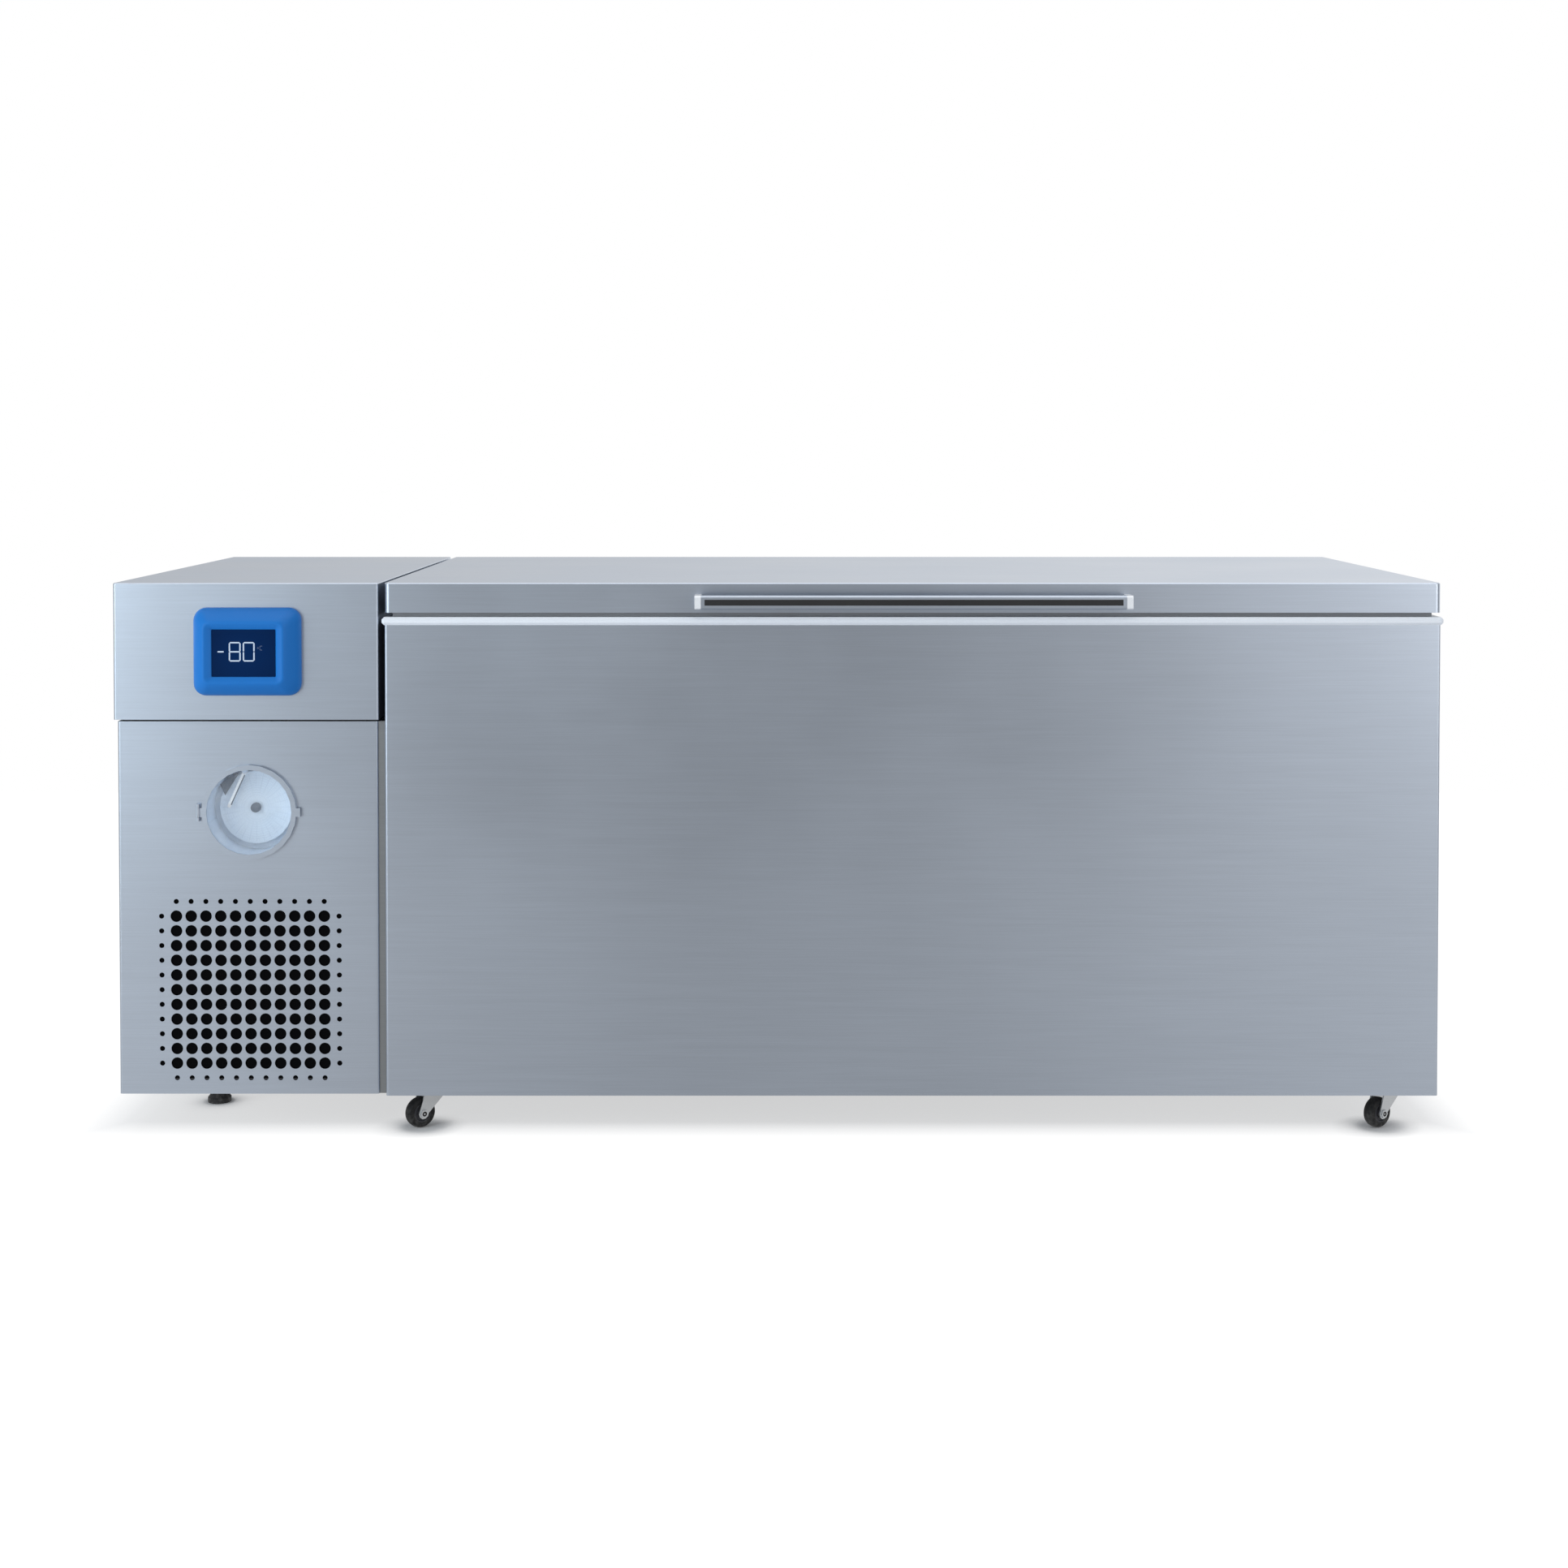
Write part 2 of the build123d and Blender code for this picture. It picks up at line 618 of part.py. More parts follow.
def caster_plates():
    """Top plates under the floor pan, each with the kingpin that its fork turns on."""
    plates = []
    for x, y in CASTERS.values():
        half = CASTER_PLATE_W / 2
        plate = block(x - half, x + half, y - half, y + half, Z_PAN - CASTER_PLATE_T, Z_PAN)
        head_z = FORK_CROWN_Z - SWIVEL_GAP
        plate += rod_z(KINGPIN_R, x, y, head_z, Z_PAN - CASTER_PLATE_T)
        head = prism_z(KINGPIN_HEAD_SIDES, KINGPIN_HEAD_R, x, y, head_z - KINGPIN_HEAD_T, head_z)
        plates.append(plate + head)
    return group(*plates)


def caster_fork():
    """A fork that trails its axle, with the axle bolt, drawn about its own kingpin."""
    inner = WHEEL_W / 2 + FORK_GAP
    outer = inner + FORK_T
    crown_top = FORK_CROWN_Z + FORK_T
    crown = block(-FORK_CROWN_L / 2, FORK_CROWN_L / 2, -outer, outer, FORK_CROWN_Z, crown_top)
    ear = Polygon(
        (FORK_CROWN_L / 2, crown_top),
        (-FORK_CROWN_L / 2, crown_top),
        (-CASTER_TRAIL - FORK_EAR_R, WHEEL_R),
        (-CASTER_TRAIL + FORK_EAR_R, WHEEL_R),
        align=None,
    )
    ear += Pos(-CASTER_TRAIL, WHEEL_R) * RegularPolygon(FORK_EAR_R, FORK_EAR_SIDES)
    race_z = (crown_top, Z_PAN - CASTER_PLATE_T - SWIVEL_GAP)
    fork = crown + prism_z(RACE_SIDES, RACE_R, 0, 0, *race_z)
    for side in (-inner, outer):
        fork += extrude(facing(side) * ear, FORK_T)
    fork -= rod_z(KINGPIN_R + RUN_FIT, 0, 0, FORK_CROWN_Z, Z_PAN)
    fork += rod_y(AXLE_R, -CASTER_TRAIL, -inner, inner, WHEEL_R)
    for near, far in ((-outer - AXLE_HEAD_T, -outer), (outer, outer + AXLE_HEAD_T)):
        fork += prism_y(BOLT_SIDES, AXLE_HEAD_R, -CASTER_TRAIL, near, far, WHEEL_R)
    return fork


def caster_wheel():
    """A moulded hub in a solid tyre, drawn about the kingpin of its fork."""
    half = WHEEL_W / 2
    shoulder = half - TREAD_CHAMFER
    flank_r = WHEEL_R - TREAD_CHAMFER
    rims = [(flank_r, half), (WHEEL_R, shoulder), (WHEEL_R, -shoulder), (flank_r, -half)]
    tyre = faceted([ring_y(WHEEL_SIDES, radius, -CASTER_TRAIL, y, WHEEL_R) for radius, y in rims])
    hub = prism_y(HUB_SIDES, HUB_R, -CASTER_TRAIL, -half, half, WHEEL_R)
    bore = rod_y(AXLE_R + RUN_FIT, -CASTER_TRAIL, -half, half, WHEEL_R)
    return group(tyre - hub, hub - bore)


def casters():
    """Four alike casters, all turned the same way."""
    fork = caster_fork()
    wheel = caster_wheel()
    nodes = {}
    for name, (x, y) in CASTERS.items():
        place = Pos(x, y, 0) * Rot(0, 0, CASTER_TURN)
        nodes[f"{name}_fork"] = place * fork
        nodes[f"{name}_wheel"] = place * wheel
    return nodes


def vent_punches():
    """The square field of vent holes with one row of small holes along each side."""
    middle = (VENT_COUNT - 1) / 2
    steps = [(i - middle) * VENT_PITCH for i in range(VENT_COUNT)]
    edge = (middle + 1) * VENT_PITCH
    centre = Pos(X_REC, VENT_CENTRE_Z)
    big = RegularPolygon(VENT_R, VENT_SIDES)
    small = RegularPolygon(VENT_EDGE_R, VENT_EDGE_SIDES)
    punches = [centre * Pos(x, z) * big for x in steps for z in steps]
    for step in steps:
        for x, z in ((step, edge), (step, -edge), (edge, step), (-edge, step)):
            punches.append(centre * Pos(x, z) * small)
    return punches


def machine_front_panel():
    """The lower front sheet with the vent holes and the recorder's opening."""
    sheet = bent_front(X_LOWER0, X_LOWER1, Y_LOWER0, GROUND_GAP, Z_LOWER)
    opening = Pos(X_REC, REC_Z) * RegularPolygon(REC_TUBE_R + REC_FIT, REC_SIDES)
    cuts = [facing(Y_LOWER0 + SKIN) * punch for punch in [*vent_punches(), opening]]
    return sheet - [extrude(cut, SKIN) for cut in cuts]


def machine_cabinet():
    """The sheets of the lower machine compartment, its base tray and the deck above."""
    port = prism_x(PORT_SIDES, PORT_R, X_LOWER1 - 2 * SKIN, X_LOWER1 + SKIN, PORT_Y, PORT_Z)
    side_y = (Y_LOWER0 + PANEL_RETURN, Y_LOWER1 - SKIN)
    left = block(X_LOWER0, X_LOWER0 + SKIN, *side_y, GROUND_GAP, Z_LOWER)
    left += block(X_LOWER0, X_LOWER0 + SIDE_FLANGE, *side_y, Z_LOWER - SKIN, Z_LOWER)
    right = block(X_LOWER1 - SKIN, X_LOWER1, *side_y, GROUND_GAP, Z_LOWER)
    right += block(X_LOWER1 - SIDE_FLANGE, X_LOWER1, *side_y, Z_LOWER - SKIN, Z_LOWER)
    rear = block(X_LOWER0, X_LOWER1, Y_LOWER1 - SKIN, Y_LOWER1, GROUND_GAP, Z_LOWER)
    slots = []
    for row in range(REAR_SLOT_ROWS):
        z = REAR_SLOT_Z + row * REAR_SLOT_PITCH
        for x in (X_LOWER - REAR_SLOT_GAP / 2 - REAR_SLOT_W, X_LOWER + REAR_SLOT_GAP / 2):
            slots.append(block(x, x + REAR_SLOT_W, Y_LOWER1 - SKIN, Y_LOWER1, z, z + REAR_SLOT_H))
    slots.append(block(*inlet_span(INLET_W), Y_LOWER1 - SKIN, Y_LOWER1, *inlet_rise(INLET_H)))
    deck = block(
        X_HOOD0 + DECK_INSET, X_HOOD1 - DECK_INSET,
        Y_LOWER0 + DECK_INSET, Y_LOWER1 - DECK_INSET, Z_LOWER, Z_HOOD,
    )
    return {
        "machine_front_panel": machine_front_panel(),
        "machine_left_panel": left,
        "machine_right_panel": right - port,
        "machine_rear_panel": rear - slots,
        "machine_base_tray": base_tray(),
        "machine_deck": deck,
    }


def base_tray():
    """A shallow tray with a threaded boss under it for each levelling foot."""
    x0, x1 = X_LOWER0 + SKIN, X_LOWER1 - SKIN
    y0, y1 = Y_LOWER0 + SKIN, Y_LOWER1 - SKIN
    tray = rounded_front(block(x0, x1, y0, y1, GROUND_GAP, GROUND_GAP + TRAY_RIM), BEND_R - SKIN)
    tray -= block(x0 + SKIN, x1 - SKIN, y0 + SKIN, y1 - SKIN, Z_TRAY, GROUND_GAP + TRAY_RIM)
    for y in Y_FEET:
        tray += prism_z(BOLT_SIDES, BOSS_R, X_FOOT, y, GROUND_GAP - BOSS_DROP, GROUND_GAP)
        tray -= rod_z(STEM_R + RUN_FIT, X_FOOT, y, GROUND_GAP - BOSS_DROP, Z_TRAY)
    return tray


def levelling_foot(y):
    """A round pad on a screw that turns in its boss."""
    rims = [(FOOT_R, 0), (FOOT_R, FOOT_H / 2), (FOOT_NECK_R, FOOT_H)]
    pad = faceted([ring_z(FOOT_SIDES, radius, X_FOOT, y, z) for radius, z in rims])
    return pad + rod_z(STEM_R, X_FOOT, y, FOOT_H, Z_TRAY + STEM_RISE)


def hood():
    """The folded upper cover, open below but for a flange that rests on the deck."""
    outer = block(X_HOOD0, X_HOOD1, Y_FRONT, Y_REAR, Z_HOOD, Z_TOP)
    outer = fillet(outer.edges().filter_by(Axis.Z), BEND_R)
    outer = chamfer(outer.faces().sort_by(Axis.Z)[-1].edges(), FOLD_EDGE)
    inside = block(
        X_HOOD0 + SKIN, X_HOOD1 - SKIN, Y_FRONT + SKIN, Y_REAR - SKIN, Z_HOOD + SKIN, Z_TOP - SKIN
    )
    inside = fillet(inside.edges().filter_by(Axis.Z), BEND_R - SKIN)
    mouth = block(
        X_HOOD0 + HOOD_FLANGE, X_HOOD1 - HOOD_FLANGE,
        Y_FRONT + HOOD_FLANGE, Y_REAR - HOOD_FLANGE, Z_HOOD, Z_HOOD + SKIN,
    )
    window = Pos(X_BEZEL, Z_DISPLAY) * Rectangle(SCREEN_W, SCREEN_H)
    return outer - inside - mouth - extrude(facing(Y_FRONT + SKIN) * window, SKIN)


def joining_spacers():
    """Filler strip and spacer bolts in the slit between the machine compartment and the chest."""
    spacers = []
    for y in (Y_FRONT + SPACER_SETBACK, Y_REAR - SPACER_SETBACK):
        for share in SPACER_SHARES:
            z = GROUND_GAP + share * (Z_LOWER - GROUND_GAP)
            spacers.append(prism_x(BOLT_SIDES, SPACER_R, X_LOWER1, X_CHEST0, y, z))
    y = Y_LOWER0 + STRIP_SETBACK
    strip = block(X_LOWER1, X_CHEST0, y, y + SKIN, GROUND_GAP, Z_LOWER)
    return group(strip, *spacers)


def air_path():
    """Filter, condenser, fan shroud and motor, one behind the other on the tray."""
    half = FILTER_W / 2
    z1 = Z_TRAY + FILTER_H
    centre_z = (Z_TRAY + z1) / 2
    fins = block(
        X_REC - half, X_REC + half, Y_CONDENSER + CONDENSER_FIN_INSET, Y_SHROUD - CONDENSER_FIN_INSET,
        Z_TRAY + CONDENSER_FIN_INSET, z1 - CONDENSER_FIN_INSET,
    )
    for x in (X_REC - half, X_REC + half - CONDENSER_PLATE_T):
        fins += block(x, x + CONDENSER_PLATE_T, Y_CONDENSER, Y_SHROUD, Z_TRAY, z1)
    bore_r = FAN_R + FAN_CLEAR
    y_plate = Y_SHROUD + SHROUD_T
    shroud = block(X_REC - half, X_REC + half, Y_SHROUD, y_plate, Z_TRAY, z1)
    shroud += prism_y(SHROUD_SIDES, bore_r + SHROUD_RING_T, X_REC, y_plate, Y_STRAP, centre_z)
    shroud -= prism_y(SHROUD_SIDES, bore_r, X_REC, Y_SHROUD, Y_STRAP, centre_z)
    reach = bore_r + SHROUD_RING_T
    strap = block(
        X_REC - reach, X_REC + reach, Y_STRAP, Y_STRAP + STRAP_T,
        centre_z - STRAP_W / 2, centre_z + STRAP_W / 2,
    )
    clear_r = MOTOR_SHAFT_R + FAN_CLEAR
    shroud += strap - prism_y(PORT_SIDES, clear_r, X_REC, Y_STRAP, Y_STRAP + STRAP_T, centre_z)
    y_motor = Y_STRAP + STRAP_T
    y_shaft = Y_STRAP - FAN_CLEAR - FAN_HUB_L
    motor = prism_y(MOTOR_SIDES, MOTOR_R, X_REC, y_motor, y_motor + MOTOR_L, centre_z)
    motor += rod_y(MOTOR_SHAFT_R, X_REC, y_shaft, y_motor, centre_z)
    fan = prism_y(FAN_HUB_SIDES, FAN_HUB_R, X_REC, y_shaft, y_shaft + FAN_HUB_L, centre_z)
    blade = Pos((FAN_R + FAN_HUB_R / 2) / 2, 0, 0) * Box(FAN_R - FAN_HUB_R / 2, BLADE_T, BLADE_W)
    blade = Rot(BLADE_TILT, 0, 0) * blade
    for i in range(FAN_BLADES):
        turn = Pos(X_REC, y_shaft + FAN_HUB_L / 2, centre_z) * Rot(0, i * 360 / FAN_BLADES, 0)
        fan += turn * blade
    fan -= rod_y(MOTOR_SHAFT_R + RUN_FIT, X_REC, y_shaft, y_shaft + FAN_HUB_L, centre_z)
    return {
        "air_filter": block(X_REC - half, X_REC + half, Y_FILTER, Y_CONDENSER, Z_TRAY, z1),
        "condenser": fins,
        "fan_shroud": shroud,
        "fan_motor": motor,
        "fan_blade": fan,
    }


def compressor(y):
    """A sealed shell with coned ends on a square foot plate."""
    z0 = Z_TRAY + GROMMET_H
    half = COMPRESSOR_PLATE / 2
    plate = block(X_LOWER - half, X_LOWER + half, y - half, y + half, z0, z0 + COMPRESSOR_PLATE_T)
    base = z0 + COMPRESSOR_PLATE_T
    top = base + COMPRESSOR_H
    rims = [
        (COMPRESSOR_NECK_R, base), (COMPRESSOR_R, base + COMPRESSOR_DOME),
        (COMPRESSOR_R, top - COMPRESSOR_DOME), (COMPRESSOR_NECK_R, top),
    ]
    return plate + faceted([ring_z(COMPRESSOR_SIDES, radius, X_LOWER, y, z) for radius, z in rims])


def compressor_grommets():
    """Rubber mounts under the four corners of each foot plate."""
    reach = COMPRESSOR_PLATE / 2 - GROMMET_INSET
    mounts = []
    for y in Y_COMPRESSORS:
        for dx in (-reach, reach):
            for dy in (-reach, reach):
                x = X_LOWER + dx
                mounts.append(prism_z(GROMMET_SIDES, GROMMET_R, x, y + dy, Z_TRAY, Z_TRAY + GROMMET_H))
    return group(*mounts)


def cascade_exchanger():
    """The heat exchanger between the two stages, in its foam jacket on the right panel."""
    jacket = block(
        X_EXCHANGER1 - EXCHANGER_W, X_EXCHANGER1,
        EXCHANGER_Y - EXCHANGER_D / 2, EXCHANGER_Y + EXCHANGER_D / 2,
        Z_EXCHANGER0, Z_EXCHANGER1,
    )
    return fillet(jacket.edges().filter_by(Axis.Z).group_by(Axis.X)[0], EXCHANGER_EDGE_R)


def refrigerant_lines():
    """Both discharge lines, the drier on the first, and the line to the evaporator."""
    z_condenser = Z_TRAY + FILTER_H
    y_condenser = (Y_CONDENSER + Y_SHROUD) / 2
    z_over = max(Z_COMPRESSOR, z_condenser) + LINE_RISE
    high = line_path(
        (X_LOWER, Y_COMPRESSORS[0], Z_COMPRESSOR),
        (X_LOWER, Y_COMPRESSORS[0], z_over),
        (X_LINE, Y_COMPRESSORS[0], z_over),
        (X_LINE, y_condenser, z_over),
        (X_LINE, y_condenser, z_condenser - CONDENSER_FIN_INSET),
    )
    y_drier = (Y_COMPRESSORS[0] + y_condenser) / 2
    high += prism_y(DRIER_SIDES, DRIER_R, X_LINE, y_drier - DRIER_L / 2, y_drier + DRIER_L / 2, z_over)
    x_exchanger = X_EXCHANGER1 - EXCHANGER_W / 2
    z_middle = (Z_COMPRESSOR + Z_EXCHANGER0) / 2
    low = line_path(
        (X_LOWER, Y_COMPRESSORS[1], Z_COMPRESSOR),
        (X_LOWER, Y_COMPRESSORS[1], z_middle),
        (x_exchanger, Y_COMPRESSORS[1], z_middle),
        (x_exchanger, Y_COMPRESSORS[1], Z_EXCHANGER0),
    )
    cold = line_path(
        (x_exchanger, EXCHANGER_Y - EXCHANGER_D / 2, PORT_Z),
        (x_exchanger, PORT_Y, PORT_Z),
        (X_HEADER0, PORT_Y, PORT_Z),
    )
    return group(high, low, cold)


def control_box():
    """The controller and power board in a steel box on the deck."""
    x0 = X_LOWER - CONTROL_W / 2
    y0 = Y_FRONT + CONTROL_SETBACK
    box = block(x0, x0 + CONTROL_W, y0, y0 + CONTROL_D, Z_HOOD, Z_HOOD + CONTROL_H)
    return chamfer(box.edges().filter_by(Axis.Z), CONTROL_EDGE)


def soft_ring(width, height, radius, y):
    """The corners of an upright rectangle at the display, rounded by a few facets."""
    points = []
    for quarter, (x, z) in enumerate(((1, 1), (-1, 1), (-1, -1), (1, -1))):
        middle = Vector(X_BEZEL + x * (width / 2 - radius), y, Z_DISPLAY + z * (height / 2 - radius))
        for step in range(BEZEL_FACETS + 1):
            turn = -90 * (quarter + step / BEZEL_FACETS)
            points.append(middle + Vector(radius, 0, 0).rotate(Axis.Y, turn))
    return points


def sharp_ring(width, height, y):
    """The corners of an upright rectangle at the display."""
    corners = ((1, 1), (-1, 1), (-1, -1), (1, -1))
    return [Vector(X_BEZEL + x * width / 2, y, Z_DISPLAY + z * height / 2) for x, z in corners]


def display():
    """The raised bezel on the hood, the screen in its sloped opening and the module behind."""
    y_rim = Y_FRONT - BEZEL_T
    y_screen = y_rim + SCREEN_RECESS
    y_seat = y_screen + SCREEN_T
    y_module = y_seat + MODULE_T
    inset = 2 * BEZEL_WALL + BEZEL_R
    land = 2 * BEZEL_LAND
    module = (SCREEN_W + 2 * MODULE_MARGIN, SCREEN_H + 2 * MODULE_MARGIN)
    centre = Pos(X_BEZEL, Z_DISPLAY)
    seat = extrude(facing(y_module) * centre * Rectangle(*module), MODULE_T)
    screen = extrude(facing(y_seat) * centre * Rectangle(SCREEN_W, SCREEN_H), SCREEN_T)
    bezel = faceted([
        soft_ring(BEZEL_W, BEZEL_H, BEZEL_R, Y_FRONT),
        soft_ring(BEZEL_FRONT_W, BEZEL_FRONT_H, BEZEL_FRONT_R, y_rim),
    ])
    bezel -= faceted([sharp_ring(BEZEL_W - inset, BEZEL_H - inset, Y_FRONT), sharp_ring(*module, y_module)])
    bezel -= seat
    bezel -= screen
    bezel -= faceted([
        sharp_ring(SCREEN_W, SCREEN_H, y_screen),
        sharp_ring(BEZEL_FRONT_W - land, BEZEL_FRONT_H - land, y_rim),
    ])
    return {"display_bezel": bezel, "display_screen": screen, "display_module": seat}


# Chart recorder: depths from front to rear
Y_DOOR1 = Y_LOWER0 - REC_FLANGE_T - DOOR_GAP
Y_DOOR0 = Y_DOOR1 - DOOR_T
Y_REC_BACK = Y_LOWER0 + REC_DEPTH
Y_CHART = Y_LOWER0 + CHART_DEPTH
Y_PEN = Y_LOWER0 + PEN_DEPTH
X_DOOR = X_REC - REC_FLANGE_R - DOOR_AXIS_OUT
X_PEN = X_REC + PEN_PIVOT_X
Z_PEN = REC_Z + PEN_PIVOT_Z


def recorder_case():
    """A round cup through the panel, with the door's hinge lugs, its pin and the pen's post."""
    rear_wall = Y_REC_BACK - REC_WALL
    case = prism_y(REC_SIDES, REC_FLANGE_R, X_REC, Y_LOWER0 - REC_FLANGE_T, Y_LOWER0, REC_Z)
    case += prism_y(REC_SIDES, REC_TUBE_R, X_REC, Y_LOWER0, Y_REC_BACK, REC_Z)
    case -= prism_y(REC_SIDES, REC_TUBE_R - REC_WALL, X_REC, Y_LOWER0 - REC_FLANGE_T, rear_wall, REC_Z)
    case -= rod_y(CHART_SHAFT_R + RUN_FIT, X_REC, rear_wall, Y_REC_BACK, REC_Z)
    y_cap = Y_PEN - PEN_HUB_L / 2 - PEN_GAP
    case += rod_y(PEN_POST_R, X_PEN, y_cap, rear_wall, Z_PEN)
    case += prism_y(PEN_SIDES, PEN_CAP_R, X_PEN, y_cap - PEN_CAP_T, y_cap, Z_PEN)
    low = DOOR_KNUCKLE_H / 2 + DOOR_LUG_GAP
    x_out = X_DOOR - DOOR_KNUCKLE_R
    x_gap = X_DOOR + DOOR_KNUCKLE_R
    for z in (REC_Z + low, REC_Z - low - DOOR_LUG_H):
        case += block(x_out, X_REC - REC_TUBE_R, Y_LOWER0 - REC_FLANGE_T, Y_LOWER0, z, z + DOOR_LUG_H)
        case += block(x_out, x_gap, Y_DOOR0, Y_LOWER0 - REC_FLANGE_T, z, z + DOOR_LUG_H)
        case += prism_z(KNUCKLE_SIDES, DOOR_KNUCKLE_R, X_DOOR, Y_DOOR0, z, z + DOOR_LUG_H)
    return case + rod_z(DOOR_PIN_R, X_DOOR, Y_DOOR0, REC_Z - low, REC_Z + low)


def recorder_door():
    """A slim ring with a clear window, hung on the left, with a finger tab at the right."""
    window_r = DOOR_LIP_R + WINDOW_REBATE
    ring = prism_y(REC_SIDES, REC_FLANGE_R, X_REC, Y_DOOR0, Y_DOOR1, REC_Z)
    half_tab = DOOR_TAB_H / 2
    half_knuckle = DOOR_KNUCKLE_H / 2
    x_tab = X_REC + REC_FLANGE_R + DOOR_TAB_L
    ring += block(X_REC, x_tab, Y_DOOR0, Y_DOOR1, REC_Z - half_tab, REC_Z + half_tab)
    ring += block(X_DOOR, X_REC, Y_DOOR0, Y_DOOR1, REC_Z - half_knuckle, REC_Z + half_knuckle)
    knuckle_z = (REC_Z - half_knuckle, REC_Z + half_knuckle)
    ring += prism_z(KNUCKLE_SIDES, DOOR_KNUCKLE_R, X_DOOR, Y_DOOR0, *knuckle_z)
    ring -= rod_z(DOOR_PIN_R + RUN_FIT, X_DOOR, Y_DOOR0, *knuckle_z)
    window = prism_y(REC_SIDES, window_r, X_REC, Y_DOOR1 - WINDOW_T, Y_DOOR1, REC_Z)
    ring -= prism_y(REC_SIDES, DOOR_LIP_R, X_REC, Y_DOOR0, Y_DOOR1, REC_Z)
    ring -= window
    return {"recorder_door_ring": ring, "recorder_window": window}


def recorder_works():
    """The chart on its driven hub, the drive motor behind, and the pen arm."""
    y_shaft = Y_REC_BACK + REC_SHAFT_GRIP
    chart = prism_y(REC_SIDES, CHART_R, X_REC, Y_CHART, Y_CHART + CHART_T, REC_Z)
    chart -= rod_y(CHART_SHAFT_R + RUN_FIT, X_REC, Y_CHART, Y_CHART + CHART_T, REC_Z)
    hub = prism_y(CHART_KNOB_SIDES, CHART_KNOB_R, X_REC, Y_CHART - CHART_KNOB_L, Y_CHART, REC_Z)
    hub += rod_y(CHART_SHAFT_R, X_REC, Y_CHART, y_shaft, REC_Z)
    y_motor = Y_REC_BACK + REC_MOTOR_L
    motor = prism_y(REC_MOTOR_SIDES, REC_MOTOR_R, X_REC, Y_REC_BACK, y_motor, REC_Z)
    motor -= rod_y(CHART_SHAFT_R + RUN_FIT, X_REC, Y_REC_BACK, y_shaft + RUN_FIT, REC_Z)
    pivot = Vector(PEN_PIVOT_X, PEN_PIVOT_Z)
    tip = Vector(PEN_TIP_X, PEN_TIP_Z)
    arm = Rectangle((tip - pivot).length + PEN_W, PEN_W)
    swing = degrees(atan2(tip.Y - pivot.Y, tip.X - pivot.X))
    middle = (pivot + tip) / 2
    place = facing(Y_PEN + PEN_T / 2) * Pos(X_REC + middle.X, REC_Z + middle.Y) * Rot(0, 0, swing)
    pen = extrude(place * arm, PEN_T)
    hub_y = (Y_PEN - PEN_HUB_L / 2, Y_PEN + PEN_HUB_L / 2)
    pen += prism_y(PEN_SIDES, PEN_HUB_R, X_PEN, *hub_y, Z_PEN)
    pen += prism_y(PEN_SIDES, PEN_NIB_R, X_REC + tip.X, Y_PEN, Y_CHART - PEN_NIB_GAP, REC_Z + tip.Y)
    pen -= rod_y(PEN_POST_R + RUN_FIT, X_PEN, *hub_y, Z_PEN)
    return {"recorder_chart": chart, "recorder_hub": hub, "recorder_motor": motor, "recorder_pen": pen}


def inlet_span(width):
    """The inlet's left and right planes for one of its widths."""
    x = X_LOWER0 + INLET_INSET_X
    return x - width / 2, x + width / 2


def inlet_rise(height, lift=0.0):
    """The inlet's lower and upper planes for one of its heights."""
    z = INLET_Z + lift
    return z - height / 2, z + height / 2


def mains_inlet():
    """A panel inlet with a recessed socket below and the rocker's pocket above."""
    lip_w, lip_h = INLET_W + 2 * INLET_LIP, INLET_H + 2 * INLET_LIP
    y_face = Y_LOWER1 + INLET_LIP_T
    body = block(*inlet_span(INLET_W), Y_LOWER1 - INLET_D, Y_LOWER1, *inlet_rise(INLET_H))
    body += block(*inlet_span(lip_w), Y_LOWER1, y_face, *inlet_rise(lip_h))
    socket_z = inlet_rise(INLET_SOCKET_H, INLET_SOCKET_Z)
    body -= block(*inlet_span(INLET_SOCKET_W), y_face - INLET_SOCKET_D, y_face, *socket_z)
    pocket_z = inlet_rise(ROCKER_H + 2 * ROCKER_GAP, ROCKER_Z)
    depth = ROCKER_D + 2 * ROCKER_GAP
    pocket = block(*inlet_span(ROCKER_W + 2 * ROCKER_GAP), y_face - depth, y_face, *pocket_z)
    return body - pocket + rocker_pin(0)


def rocker_axis():
    """Depth and height of the rocker's pin."""
    return Y_LOWER1 + INLET_LIP_T + ROCKER_SHOW - ROCKER_D / 2, INLET_Z + ROCKER_Z


def rocker_pin(clearance):
    """The pin across the rocker's pocket, or the bore round it."""
    return rod_x(ROCKER_GAP + clearance, *inlet_span(ROCKER_W + 2 * ROCKER_GAP), *rocker_axis())


def power_rocker():
    """The rocker, pressed at its upper end."""
    y, z = rocker_axis()
    cap = Pos(inlet_span(0)[0], y, z) * Rot(ROCKER_TILT, 0, 0) * Box(ROCKER_W, ROCKER_D, ROCKER_H)
    return cap - rocker_pin(RUN_FIT)


